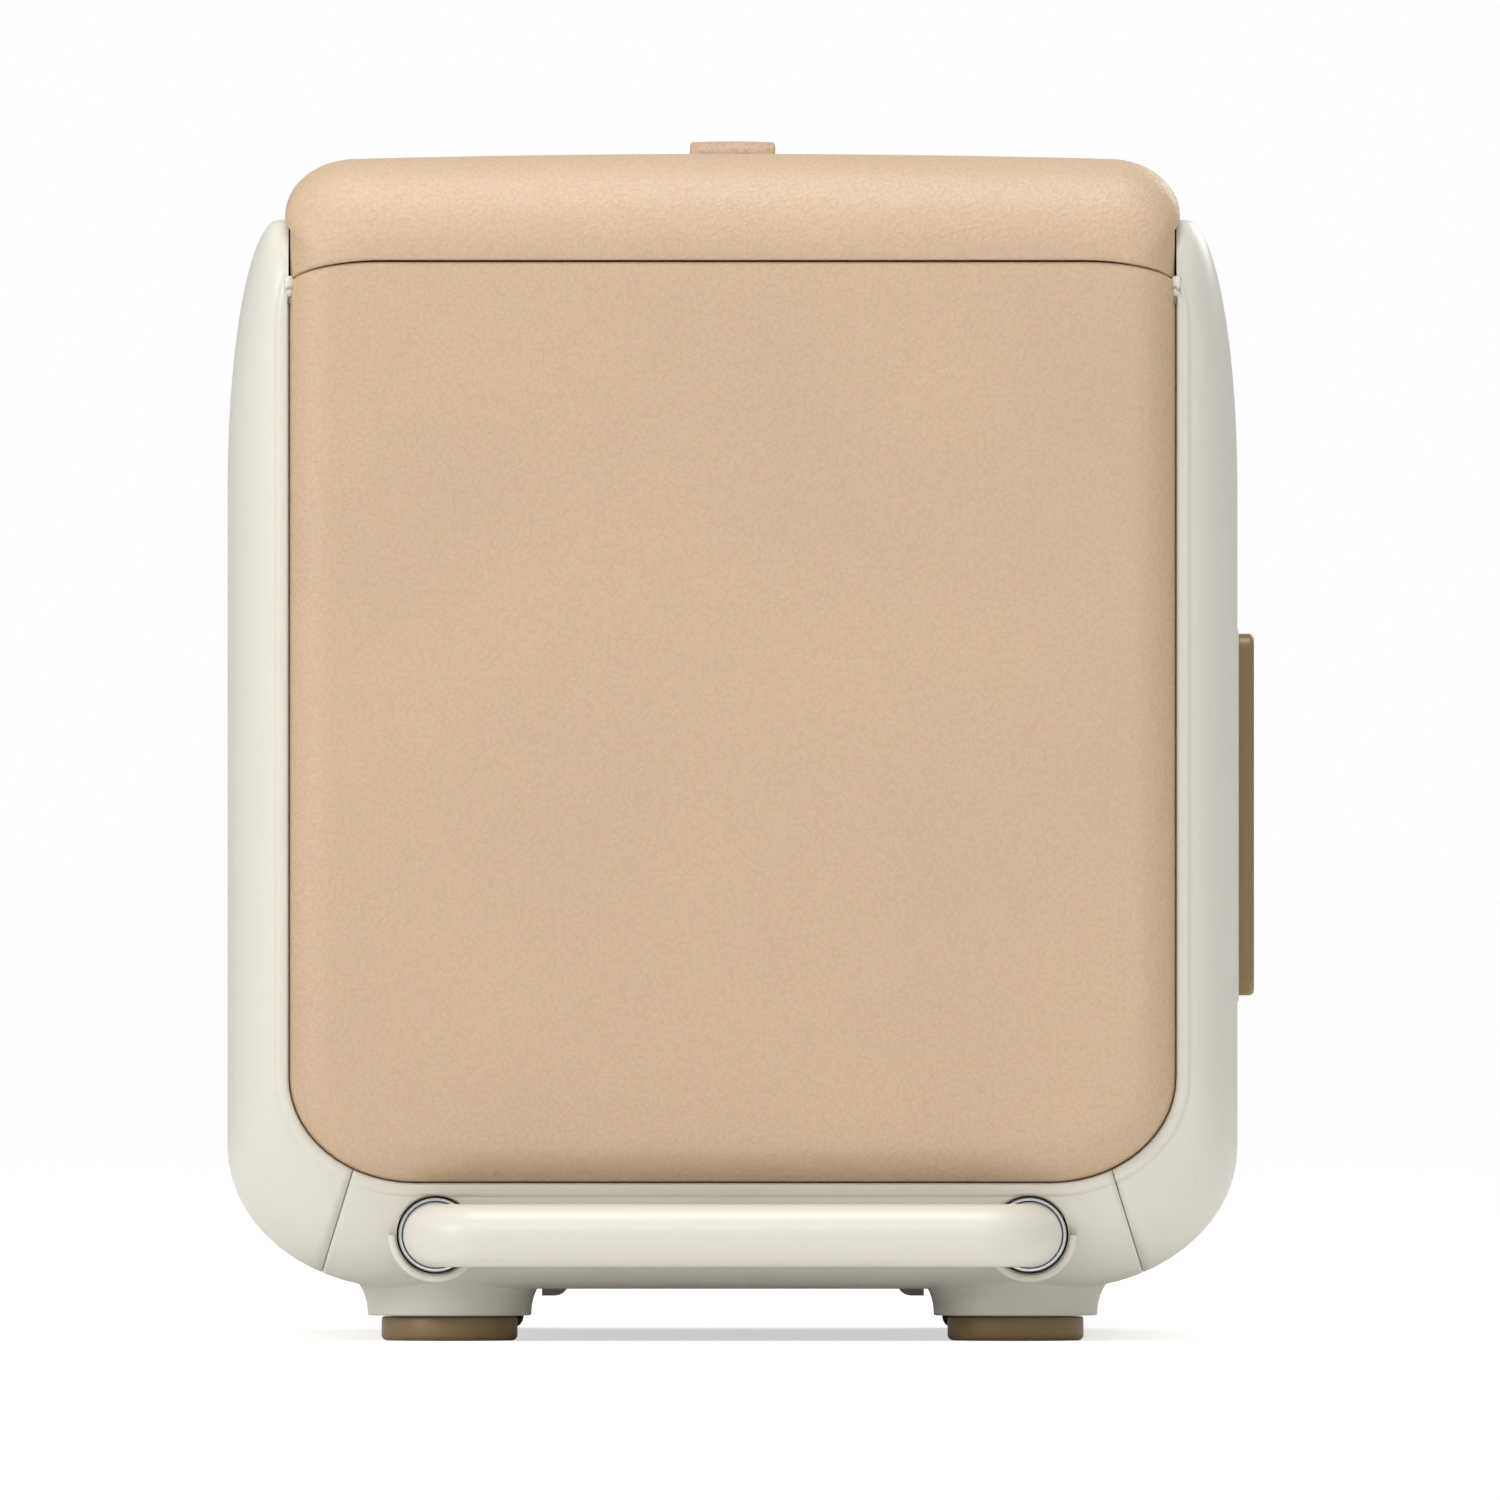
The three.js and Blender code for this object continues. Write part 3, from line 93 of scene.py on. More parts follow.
def remap(tree, value, from_low, from_high, to_low, to_high):
    ends = {"From Min": from_low, "From Max": from_high, "To Min": to_low, "To Max": to_high}
    return shader_node(tree, "MapRange", {"Value": value, **ends}).outputs[0]


# Moulded texture: fine pimples, a slow change of tone and patches of more and less gloss.
moulded, given, put = effect_group(
    "moulded_texture",
    {"Colour": (0.8, 0.8, 0.8, 1), "Grain": 1500.0, "Mottle": 0.04, "Roughness": 0.4, "Gloss change": 0.06},
)
place = shader_node(moulded, "TexCoord").outputs["Object"]
pimples = noise(moulded, place, given["Grain"], 2.0)
patches = noise(moulded, place, 9.0, 3.0)
smears = noise(moulded, place, 42.0, 5.0, Distortion=0.6)
shift = maths(moulded, "MULTIPLY", maths(moulded, "SUBTRACT", patches, 0.5), given["Mottle"])
level = maths(moulded, "ADD", shift, 1.0)
tinted = shader_node(moulded, "HueSaturation", {"Value": level, "Color": given["Colour"]})
change = maths(moulded, "MULTIPLY", maths(moulded, "SUBTRACT", smears, 0.5), given["Gloss change"])
moulded.links.new(tinted.outputs[0], put["Colour"])
moulded.links.new(maths(moulded, "ADD", change, given["Roughness"]), put["Roughness"])
moulded.links.new(pimples, put["Height"])

FINISHES = {}


def textured(slot, group, values, depth):
    """A material whose colour, roughness and bump of a given depth come from an effect group."""
    material = bpy.data.materials.new(slot)
    material.use_nodes = True
    tree = material.node_tree
    shader = tree.nodes["Principled BSDF"]
    texture = tree.nodes.new("ShaderNodeGroup")
    texture.node_tree = group
    for name, value in values.items():
        texture.inputs[name].default_value = value
    relief = {"Height": texture.outputs["Height"], "Strength": 1.0, "Distance": depth}
    bump = shader_node(tree, "Bump", relief)
    tree.links.new(texture.outputs["Colour"], shader.inputs["Base Color"])
    tree.links.new(texture.outputs["Roughness"], shader.inputs["Roughness"])
    tree.links.new(bump.outputs["Normal"], shader.inputs["Normal"])
    FINISHES[slot] = material
    return shader


def surface(
    slot, colour, roughness, grain=1500.0, depth=0.00004, metallic=0.0, mottle=0.05, gloss=0.06, **fixed
):
    """A finish on the moulded texture; fixed holds values for the shader's own sockets."""
    values = {"Colour": (*colour, 1), "Grain": grain, "Mottle": mottle}
    shader = textured(slot, moulded, {**values, "Roughness": roughness, "Gloss change": gloss}, depth)
    shader.inputs["Metallic"].default_value = metallic
    for name, value in fixed.items():
        shader.inputs[name.replace("_", " ")].default_value = value


def placed(name, data):
    thing = bpy.data.objects.new(name, data)
    bpy.context.scene.collection.objects.link(thing)
    return thing


def points_in(geom):
    return [g for g in geom if isinstance(g, bmesh.types.BMVert)]


def edges_in(geom):
    return [g for g in geom if isinstance(g, bmesh.types.BMEdge)]


def open_edges(geom):
    return [e for e in edges_in(geom) if e.is_boundary]


def whole(bm):
    return bm.verts[:] + bm.edges[:] + bm.faces[:]


def centre_of(face):
    return face.calc_center_median()


def merge(bm, verts=None, dist=1e-6):
    bmesh.ops.remove_doubles(bm, verts=verts or bm.verts, dist=dist)


def face_out(bm):
    bmesh.ops.recalc_face_normals(bm, faces=bm.faces)


def close(bm, edges):
    return bmesh.ops.holes_fill(bm, edges=edges, sides=0)["faces"]


def drawn(bm, edges):
    """Walls drawn out from some edges, still lying on them."""
    return bmesh.ops.extrude_edge_only(bm, edges=edges)["geom"]


def block(bm, middle, size):
    bmesh.ops.create_cube(bm, size=1.0, matrix=Matrix.Translation(middle) @ Matrix.Diagonal((*size, 1)))


def soften(bm, edges, width, steps):
    bmesh.ops.bevel(bm, geom=edges, offset=width, segments=steps, profile=0.5, affect="EDGES", material=-1)


def absorb(bm, other):
    """Adds another modelled shape to this one."""
    copy = bpy.data.meshes.new("copy")
    other.to_mesh(copy)
    bm.from_mesh(copy)
    other.free()
    bpy.data.meshes.remove(copy)


def quarter(steps, first=0):
    """Angles from nothing to a right angle."""
    return [pi / 2 * k / steps for k in range(first, steps + 1)]


def brow(reach, radius, top, steps, first=0):
    """Insets and heights of an edge that rounds over and down."""
    return [(reach + radius * sin(t), top - radius * (1 - cos(t))) for t in quarter(steps, first)]


def fillet(reach, radius, floor, steps):
    """Insets and heights of a corner that curves in to a floor."""
    return [(reach + radius * (1 - cos(t)), floor + radius * (1 - sin(t))) for t in quarter(steps)]


def edges_along(bm, axis):
    return [e for e in bm.edges if abs((e.verts[0].co - e.verts[1].co).dot(axis)) > 0.001]


def edges_facing(bm, axis):
    return [e for f in bm.faces if f.normal.dot(axis) > 0.9 for e in f.edges]


def on_runs(count, runs):
    """Which of some runs of steps a count falls in, and its share of that run."""
    for run, steps in enumerate(runs):
        if count <= steps:
            break
        count -= steps
    return run, count / steps


def skin(place_point, along, around):
    """A sheet whose points are placed by two counts, along and around; edges that meet are joined."""
    bm = bmesh.new()
    bmesh.ops.create_grid(bm, x_segments=along, y_segments=around, size=0.5)
    for vert in bm.verts:
        vert.co = place_point(round((vert.co.x + 0.5) * along), round((vert.co.y + 0.5) * around))
    merge(bm)
    face_out(bm)
    middle = sum((v.co for v in bm.verts), Vector()) / len(bm.verts)
    if sum(f.calc_area() * f.normal.dot(centre_of(f) - middle) for f in bm.faces) < 0:
        bmesh.ops.reverse_faces(bm, faces=bm.faces)
    return bm


def made(name, bm, slot, body, *nodes, crease=32, wall=0.0, look=None):
    """Puts a piece in its place, with its slot, the body it moves with and its finish, or another look."""
    bmesh.ops.translate(bm, verts=bm.verts, vec=MIDDLE)
    for edge in bm.edges:
        edge.smooth = edge.calc_face_angle(0) < radians(crease)
    for face in bm.faces:
        face.smooth = True
    mesh = bpy.data.meshes.new(name)
    bm.to_mesh(mesh)
    bm.free()
    mesh.materials.append(FINISHES[look or slot])
    piece = placed(name, mesh)
    if wall:
        thick = piece.modifiers.new("wall", "SOLIDIFY")
        thick.thickness = wall
        thick.offset = -1
    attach(piece, body)
    if nodes:
        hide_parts(*nodes)
    return piece


def cut_out(bm, outline, axis, faces):
    """Parts faces along a convex outline seen along an axis, removes what is inside and gives the rim."""
    centre = sum(outline, Vector()) / len(outline)
    inside = list(faces)
    for a, b in zip(outline, outline[1:] + outline[:1]):
        out = (b - a).cross(axis).normalized()
        if out.dot(a - centre) < 0:
            out.negate()
        near = set(inside) | {e for f in inside for e in f.edges} | {v for f in inside for v in f.verts}
        parted = bmesh.ops.bisect_plane(bm, geom=list(near), dist=1e-7, plane_co=a, plane_no=out)["geom"]
        inside = [f for f in parted if isinstance(f, bmesh.types.BMFace) and (centre_of(f) - a).dot(out) < 0]
    held = set(inside)
    rim = {e for f in inside for e in f.edges if any(g not in held for g in e.link_faces)}
    bmesh.ops.delete(bm, geom=inside, context="FACES")
    return [e for e in rim if e.is_valid]


def corner_growth(grow):
    return OPENING_CORNER[0] + grow, OPENING_CORNER[1] + grow


SECTION_RUNS = (8, 14, 12, 14, 2, 2)  # floor, lower corner, side, shoulder, top, upright inside the top
SECTION_HALF = sum(SECTION_RUNS)
UPRIGHT_FOOT = 0.353


def section_point(count, half, bottom, top, corner, shoulder):
    """Point on the right half of a cabinet section, counted from the middle of its floor."""
    (across, up), (out, down) = corner, shoulder
    run, share = on_runs(count, SECTION_RUNS)
    turn = share * pi / 2
    return (
        ((half - across) * share, bottom),
        (half - across + across * sin(turn), bottom + up - up * cos(turn)),
        (half, (bottom + up) * (1 - share) + (top - down) * share),
        (half - out + out * cos(turn), top - down + down * sin(turn)),
        ((half - out) * (1 - share) + OPENING_HALF * share, top),
        (OPENING_HALF, top * (1 - share) + UPRIGHT_FOOT * share),
    )[run]


OPENING_TOP, OPENING_SHOULDER = 0.3568, (0.0002, 0.012)
END_ROUND, END_TURN = 0.042, radians(79.9)


def cabinet_stations():
    """Sections of the front half, from inside the opening, over the bead and round to the middle."""
    rounds, beads, middles = 22, 8, 6
    stations = []
    for depth in (0.014, 0.006, 0.002):
        opening = (OPENING_HALF, OPENING_BOTTOM, OPENING_TOP, corner_growth(0), OPENING_SHOULDER)
        stations.append((FRAME_END - depth, *opening))
    for i in range(beads + 1):
        grow = BEAD_WIDTH * i / beads
        swell = BEAD_PROUD * sqrt(max(0, 1 - (2 * i / beads - 1) ** 2))
        y = FRAME_END - 0.00065 * i / beads + swell
        top = OPENING_TOP + 0.0050 * i / beads
        shoulder = (grow + OPENING_SHOULDER[0], OPENING_SHOULDER[1] + grow)
        stations.append((y, OPENING_HALF + grow, OPENING_BOTTOM - grow, top, corner_growth(grow), shoulder))
    for i in range(rounds, -1, -1):
        turn = END_TURN * i / rounds
        rise = 1 - cos(turn)
        part = rise / (1 - cos(END_TURN))
        inset = END_ROUND * (1 - sin(turn))
        half = HALF - 0.020 * (1 - sqrt(1 - max(0, 1 - inset / 0.038) ** 2))
        top = SHELL_TOP - 0.025 * (1 - sqrt(1 - max(0, 1 - inset / 0.025) ** 2))
        corner = (0.060 - 0.012 * part, 0.0483 - 0.0073 * part)
        shoulder = (0.0176 - 0.0128 * part, 0.092 - 0.075 * part)
        stations.append((FRAME_END - inset, half, UNDERSIDE + 0.0379 * rise, top, corner, shoulder))
    for i in range(1, middles + 1):
        stations.append(((FRAME_END - END_ROUND) * (1 - i / middles), *stations[-1][1:]))
    return stations


FRONT_HALF = cabinet_stations()
STATIONS = [(-s[0], *s[1:]) for s in FRONT_HALF] + FRONT_HALF[-2::-1]


def cabinet_point(i, j):
    y, *section = STATIONS[i]
    x, z = section_point(abs(j - SECTION_HALF), *section)
    return Vector((-x if j < SECTION_HALF else x, y, z))


SEAM_LOW, SEAM_HIGH = Vector((0.147, 0, 0)), Vector((0.1284, 0, 0.060))
SEAM_GAP = 0.0003


def base_joint(bm, side, outside):
    """Parts the moulding along one slanted joint and keeps what is outside or inside it."""
    slant = SEAM_HIGH - SEAM_LOW
    out = Vector((slant.z * side, 0, -slant.x)).normalized()
    foot = Vector((SEAM_LOW.x * side, 0, 0)) + out * (SEAM_GAP if outside else 0)
    kept = {"clear_inner": outside, "clear_outer": not outside}
    bmesh.ops.bisect_plane(bm, geom=whole(bm), plane_co=foot, plane_no=out, **kept)


def stadium(middle, half_width, half_height, across, up, steps=8):
    """A slot's outline with round ends, on two given directions."""
    points = []
    for end in (1, -1):
        for k in range(steps + 1):
            turn = pi * k / steps
            rise = end * (half_height - half_width + half_width * sin(turn))
            points.append(middle + across * (end * half_width * cos(turn)) + up * rise)
    return points


def ring(middle, radius, across, up, steps=48):
    turns = [tau * k / steps for k in range(steps)]
    return [middle + across * (radius * cos(t)) + up * (radius * sin(t)) for t in turns]


X, Y, Z = Vector((1, 0, 0)), Vector((0, 1, 0)), Vector((0, 0, 1))
cream = {"grain": 2600.0, "depth": 0.00003, "mottle": 0.02, "Specular_IOR_Level": 0.45}
surface("cream_plastic", (0.700, 0.677, 0.600), 0.30, **cream)

panel_low, panel_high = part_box("control_bezel")
panel_y = (panel_low.y + panel_high.y) / 2 - MIDDLE.y
panel_z = (panel_low.z + panel_high.z) / 2
panel_across, panel_up = panel_high.y - panel_low.y, panel_high.z - panel_low.z

SIDES = (("left", -1), ("right", 1))
SLOT_HALF, SLOT_PITCH, FIRST_SLOT = (0.002, 0.035), 0.011, (0.160, 0.123)

for name, side in SIDES:
    bm = skin(cabinet_point, len(STATIONS) - 1, 2 * SECTION_HALF)
    base_joint(bm, side, outside=True)
    for k in range(7):
        slot_middle = Vector((side * HALF, FIRST_SLOT[0] + SLOT_PITCH * k, FIRST_SLOT[1]))
        outline = stadium(slot_middle, *SLOT_HALF, Y, Z)
        near = [f for f in bm.faces if side * centre_of(f).x > 0.150 and centre_of(f).y > 0.05]
        cut_out(bm, outline, X, near)
    made(name + "_shell", bm, "cream_plastic", "cabinet", "side_shell_" + name, wall=MOULDING_WALL)

tube_low, tube_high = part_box("guide_tube_right")
TUBE_X, TUBE_Z = (tube_low.x + tube_high.x) / 2 - MIDDLE.x, (tube_low.z + tube_high.z) / 2
SOCKET_RADIUS, COLLAR_RADIUS = 0.0137, 0.01615
tyre_low, tyre_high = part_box("wheel_tyre_right")
WHEEL = (tyre_low + tyre_high) / 2 - MIDDLE
well_near, well_far, well_along = WHEEL.x - 0.0177, WHEEL.x + 0.0197, 0.0285

bm = skin(cabinet_point, len(STATIONS) - 1, 2 * SECTION_HALF)
for side in (-1, 1):
    base_joint(bm, side, outside=False)
for side in (-1, 1):
    mouth = Vector((side * TUBE_X, -FRAME_END, TUBE_Z))
    near = [f for f in bm.faces if (centre_of(f) - mouth).length < 0.045 and centre_of(f).y < -0.23]
    cut_out(bm, ring(mouth, SOCKET_RADIUS, X, Z), Y, near)
    corners = [(well_near, -1), (well_far, -1), (well_far, 1), (well_near, 1)]
    outline = [Vector((side * x, WHEEL.y + y * well_along, UNDERSIDE)) for x, y in corners]
    near = [f for f in bm.faces if centre_of(f).z < 0.05 and abs(centre_of(f).y - WHEEL.y) < 0.08]
    rim = cut_out(bm, outline, Z, near)
    walls = drawn(bm, rim)
    for vert in points_in(walls):
        vert.co.z = OPENING_BOTTOM - 0.003
    close(bm, open_edges(walls))
made("base_moulding", bm, "cream_plastic", "cabinet", "base_cover", wall=MOULDING_WALL)

# Boss over each foot: a flared ring moulded under the base, which takes the foot's screw.
foot_low, foot_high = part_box("foot_right")
FOOT = Vector(((foot_low.x + foot_high.x) / 2 - MIDDLE.x, (foot_low.y + foot_high.y) / 2 - MIDDLE.y, 0))
FOOT_RADIUS, FOOT_HEIGHT = (foot_high.x - foot_low.x) / 2, 0.0085
BOSS_BORE, BOSS_NECK, BOSS_HEAD, BOSS_TOP = 0.0205, 0.0272, 0.0385, 0.030


def turned(profile, centre, axis=Z, steps=64):
    """A turned piece from [radius, height] pairs, spun once round an axis through a centre."""
    bm = bmesh.new()
    side = X if abs(axis.x) < 0.5 else Y
    points = [bm.verts.new(centre + side * radius + axis * height) for radius, height in profile]
    lines = [bm.edges.new(pair) for pair in zip(points, points[1:])]
    bmesh.ops.spin(bm, geom=points + lines, cent=centre, axis=axis, angle=tau, steps=steps, use_merge=True)
    merge(bm)
    face_out(bm)
    return bm


def arc(centre, radii, start, stop, steps=6):
    """Profile points round a quarter or other arc, in degrees."""
    turns = [radians(start + (stop - start) * k / steps) for k in range(steps + 1)]
    return [(centre[0] + radii[0] * cos(t), centre[1] + radii[1] * sin(t)) for t in turns]


for name, side in SIDES:
    profile = [(BOSS_BORE, FOOT_HEIGHT + 0.0005), (BOSS_NECK, FOOT_HEIGHT)]
    profile += arc((BOSS_NECK, FOOT_HEIGHT + 0.0008), (0.0008, 0.0008), -90, 0, 3)
    profile += arc((BOSS_HEAD, FOOT_HEIGHT + 0.0010), (0.0105, 0.0140), 180, 90, 12)
    profile += [(BOSS_HEAD, BOSS_TOP), (BOSS_BORE, BOSS_TOP), (BOSS_BORE, FOOT_HEIGHT + 0.0005)]
    bm = turned(profile, Vector((side * FOOT.x, FOOT.y, 0)))
    made("boss_moulding_" + name, bm, "cream_plastic", "cabinet", "foot_boss_" + name)

    # Bore and half collar that guide each handle tube through the base.
    mouth = Vector((side * TUBE_X, 0, TUBE_Z))
    outer = SOCKET_RADIUS + 0.0012
    bore = [(SOCKET_RADIUS, -0.2610), (SOCKET_RADIUS, -0.2250), (outer, -0.2250), (outer, -0.2560)]
    made("tube_bore_" + name, turned(bore, mouth, Y, 48), "cream_plastic", "cabinet", wall=0.0004)
    lip = [(SOCKET_RADIUS, -0.230), (SOCKET_RADIUS, -0.2634)]
    lip += arc((0.01493, -0.2632), (0.00122, 0.0008), 180, 360, 6)
    lip += [(COLLAR_RADIUS, -0.230), (SOCKET_RADIUS, -0.230)]
    bm = turned(lip, mouth, Y, 96)
    cut = bmesh.ops.bisect_plane(bm, geom=whole(bm), plane_co=mouth, plane_no=Z, clear_outer=True)["geom_cut"]
    close(bm, edges_in(cut))
    made("tube_collar_" + name, bm, "cream_plastic", "cabinet")

# ---- end panels
# The panel at each end is a hollow moulding in tan with a fine leather grain. It is pillowed, with round
# edges that sink behind the cream bead, and its top edge is a broad land under the lid.

# The grain's creases are painted darker in a crease shade colour, as painted shade in the hollows; Crease
# sets how strong it is.
grained, given, put = effect_group(
    "leather_grain",
    {
        "Colour": (0.5, 0.4, 0.3, 1),
        "Crease shade colour": (0.3, 0.2, 0.1, 1),
        "Pebbles": 700.0,
        "Crease": 0.35,
        "Roughness": 0.5,
    },
)
place = shader_node(grained, "TexCoord").outputs["Object"]
wander = noise(grained, place, 260.0, 2.0, "Color")
moved = shader_node(grained, "VectorMath", {0: wander, "Scale": 0.0016}, operation="SCALE")
bent = shader_node(grained, "VectorMath", {0: place, 1: moved.outputs[0]}, operation="ADD")
cells = {"Vector": bent.outputs[0], "Scale": given["Pebbles"], "Smoothness": 0.35}
pebbles = shader_node(grained, "TexVoronoi", cells, feature="SMOOTH_F1")
crease = remap(grained, pebbles.outputs["Distance"], 0.32, 0.78, 0.0, 1.0)
tone = remap(grained, noise(grained, place, 14.0, 4.0), 0.3, 0.7, 0.975, 1.025)
plain = shader_node(grained, "HueSaturation", {"Value": tone, "Color": given["Colour"]})
# Painted shade: the creases are mixed towards the darker crease colour.
deep = maths(grained, "MULTIPLY", crease, given["Crease"])
blend = {0: deep, 6: plain.outputs[0], 7: given["Crease shade colour"]}
coloured = shader_node(grained, "Mix", blend, data_type="RGBA")
rough = maths(grained, "MULTIPLY_ADD", crease, 0.16, given["Roughness"])
hill = maths(grained, "SUBTRACT", 1.0, crease)
height = maths(grained, "MULTIPLY_ADD", noise(grained, place, 2400.0, 3.0), 0.18, hill)
grained.links.new(coloured.outputs[2], put["Colour"])
grained.links.new(rough, put["Roughness"])
grained.links.new(height, put["Height"])


def leather(slot, colour, crease_shade_colour, roughness, pebbles, depth, crease):
    """A finish on the leather grain, whose creases are painted darker as shade."""
    values = {"Colour": (*colour, 1), "Crease shade colour": (*crease_shade_colour, 1), "Pebbles": pebbles}
    textured(slot, grained, {**values, "Crease": crease, "Roughness": roughness}, depth)


# Tan panel leather, with painted shade in its grain's creases.
leather("tan_grained_panel", (0.585, 0.430, 0.276), (0.46, 0.32, 0.19), 0.40, 720.0, 0.00010, 0.30)

CROWN = 0.275
PANEL_GAP, PANEL_BACK = 0.0001, 0.0185
PANEL_ROUND = (0.015, 0.014)
PANEL_CROWNING = 0.0007
SEAM_HEIGHT = 0.3675
SEAM_DIP = (0.031, 0.0087)
PANEL_RUNS = (10, 14, 16, 12)  # bottom, corner, side, top
PANEL_HALF = sum(PANEL_RUNS)
PANEL_TOP = 0.376
PANEL_CENTRE_Z = 0.21


def panel_point(count, inset):
    """Point on the right half of a panel's outline, moved in by inset."""
    half, bottom = OPENING_HALF - PANEL_GAP - inset, OPENING_BOTTOM + PANEL_GAP + inset
    across, up = OPENING_CORNER[0] - PANEL_GAP - inset, OPENING_CORNER[1] - PANEL_GAP - inset
    run, share = on_runs(count, PANEL_RUNS)
    turn = share * pi / 2
    return (
        ((half - across) * share, bottom),
        (half - across + across * sin(turn), bottom + up - up * cos(turn)),
        (half, (bottom + up) * (1 - share) + PANEL_TOP * share),
        (half * (1 - share), PANEL_TOP),
    )[run]


ROUND_STEPS, FACE_STEPS = 12, 8


def pillow_point(end):
    def place_point(i, j):
        shrink = 1.0
        if i < 2:
            inset, depth = 0.0, (PANEL_BACK, 0.0162)[i]
        elif i <= 2 + ROUND_STEPS:
            turn = (i - 2) / ROUND_STEPS * pi / 2
            inset = PANEL_ROUND[0] * (1 - cos(turn))
            depth = PANEL_CROWNING + PANEL_ROUND[1] * (1 - sin(turn))
        else:
            share = (i - 2 - ROUND_STEPS) / FACE_STEPS
            inset, depth, shrink = PANEL_ROUND[0], PANEL_CROWNING * (1 - share) ** 2, 1 - share
        x, z = panel_point(PANEL_HALF - abs(j - PANEL_HALF), inset)
        z = PANEL_CENTRE_Z + (z - PANEL_CENTRE_Z) * shrink
        return Vector(((x if j < PANEL_HALF else -x) * shrink, end * (CROWN - depth), z))

    return place_point


def seam_line(drop=0.0):
    """The parting line under the lid, from left to right, which dips at both sides."""
    half, dip = OPENING_HALF - SEAM_DIP[0], SEAM_HEIGHT - SEAM_DIP[1] - drop
    right = [(half + SEAM_DIP[0] * cos(t), dip + SEAM_DIP[1] * sin(t)) for t in quarter(12)]
    line = [(-x, z) for x, z in right] + right[::-1]
    return [Vector((x, 0, z)) for x, z in line]


grille_low, grille_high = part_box("vent_grille")
inlet_low, inlet_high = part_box("power_inlet")
LAND_ROUND = 0.0016

for name, end in (("front", -1), ("rear", 1)):
    bm = skin(pillow_point(end), 2 + ROUND_STEPS + FACE_STEPS, 2 * PANEL_HALF)
    line = seam_line(SEAM_GAP + LAND_ROUND)
    for a, b in zip(line, line[1:]):
        out = (b - a).cross(Y)
        out = out if out.z > 0 or (out.z == 0 and out.x * a.x > 0) else -out
        bmesh.ops.bisect_plane(bm, geom=whole(bm), dist=1e-7, plane_co=a, plane_no=out, clear_outer=True)
    merge(bm, bm.verts, 0.00002)
    foot_of_dip = SEAM_HEIGHT - SEAM_DIP[1] - LAND_ROUND - 0.001
    land = [e for e in bm.edges if e.is_boundary and min(v.co.z for v in e.verts) > foot_of_dip]
    land = [e for e in land if not all(abs(end * v.co.y - (CROWN - PANEL_BACK)) < 1e-5 for v in e.verts)]
    turns = quarter(5)
    pairs = zip(turns, turns[1:])
    steps = [(LAND_ROUND * (sin(t) - sin(s)), LAND_ROUND * (cos(s) - cos(t))) for s, t in pairs]
    for up, back in [*steps, (0, 1)]:
        grown = drawn(bm, land)
        fresh = set(points_in(grown))
        for vert in fresh:
            depth = max(CROWN - PANEL_BACK, end * vert.co.y - back)
            vert.co = Vector((vert.co.x, end * depth, vert.co.z + up))
        land = [e for e in edges_in(grown) if set(e.verts) <= fresh]
    merge(bm)
    if end > 0:
        for low, high, gap in ((grille_low, grille_high, -0.0037), (inlet_low, inlet_high, 0.0003)):
            x0, x1 = low.x - MIDDLE.x - gap, high.x - MIDDLE.x + gap
            z0, z1 = low.z - gap, high.z + gap
            outline = [Vector((x, CROWN, z)) for x, z in ((x0, z0), (x1, z0), (x1, z1), (x0, z1))]
            cut_out(bm, outline, Y, [f for f in bm.faces if centre_of(f).y > CROWN - 0.012])
    made(name + "_panel", bm, "tan_grained_panel", "cabinet", "end_panel_" + name, crease=38, wall=0.0022)

# ---- lid
# The lid's cover is one tan moulding with the same grain. It drops between the shells, widens over their
# tops, and has an oval scoop in its crown for the hand that takes the strap.

LID_CROWN_RISE = 0.0017
LID_SIDE = OPENING_HALF - 0.0006
LID_FLARE_Z = SHELL_TOP + 0.0017
LID_EDGE = LID_SIDE + 0.0018
LID_CORNER = (0.0242, 0.019)
LID_CROWN = LID_FLARE_Z + LID_CORNER[1] + LID_CROWN_RISE
LID_FOOT = 0.352
LID_END_ROUND, LID_PLAN_CORNER = 0.033, 0.016
LID_RUNS = (6, 4, 14, 16)  # side, flare, corner, crown
LID_HALF = sum(LID_RUNS)


def lid_section(count):
    """Point on the right half of the lid's section, counted up from the foot of its side."""
    run, share = on_runs(count, LID_RUNS)
    turn = share * pi / 2
    flat = LID_EDGE - LID_CORNER[0]
    ease = share * share * (3 - 2 * share)
    crown = LID_CROWN - LID_CROWN_RISE * (1 - share) ** 2
    return (
        (LID_SIDE, LID_FOOT * (1 - share) + (SHELL_TOP + 0.0003) * share),
        (LID_SIDE + (LID_EDGE - LID_SIDE) * ease, SHELL_TOP + 0.0003 + 0.0014 * share),
        (flat + LID_CORNER[0] * cos(turn), LID_FLARE_Z + LID_CORNER[1] * sin(turn)),
        (flat * (1 - share), crown),
    )[run]


LID_ROUND_STEPS, LID_LENGTH_STEPS, LID_FACE_STEPS = 22, 16, 3


def lid_depths():
    """Distance from the lid's end and share of its height, from the foot of the end face to the middle."""
    upright = 1 - LID_END_ROUND / (LID_CROWN - LID_FOOT)
    depths = [(0.0, upright * k / LID_FACE_STEPS) for k in range(LID_FACE_STEPS)]
    for k in range(LID_ROUND_STEPS + 1):
        turn = pi / 2 * (1 - k / LID_ROUND_STEPS)
        rise = LID_END_ROUND * (1 - cos(turn))
        depths.append((LID_END_ROUND * (1 - sin(turn)), 1 - rise / (LID_CROWN - LID_FOOT)))
    for k in range(1, LID_LENGTH_STEPS // 2 + 1):
        depths.append((LID_END_ROUND + (CROWN - LID_END_ROUND) * 2 * k / LID_LENGTH_STEPS, 1.0))
    return depths


LID_DEPTHS = lid_depths()


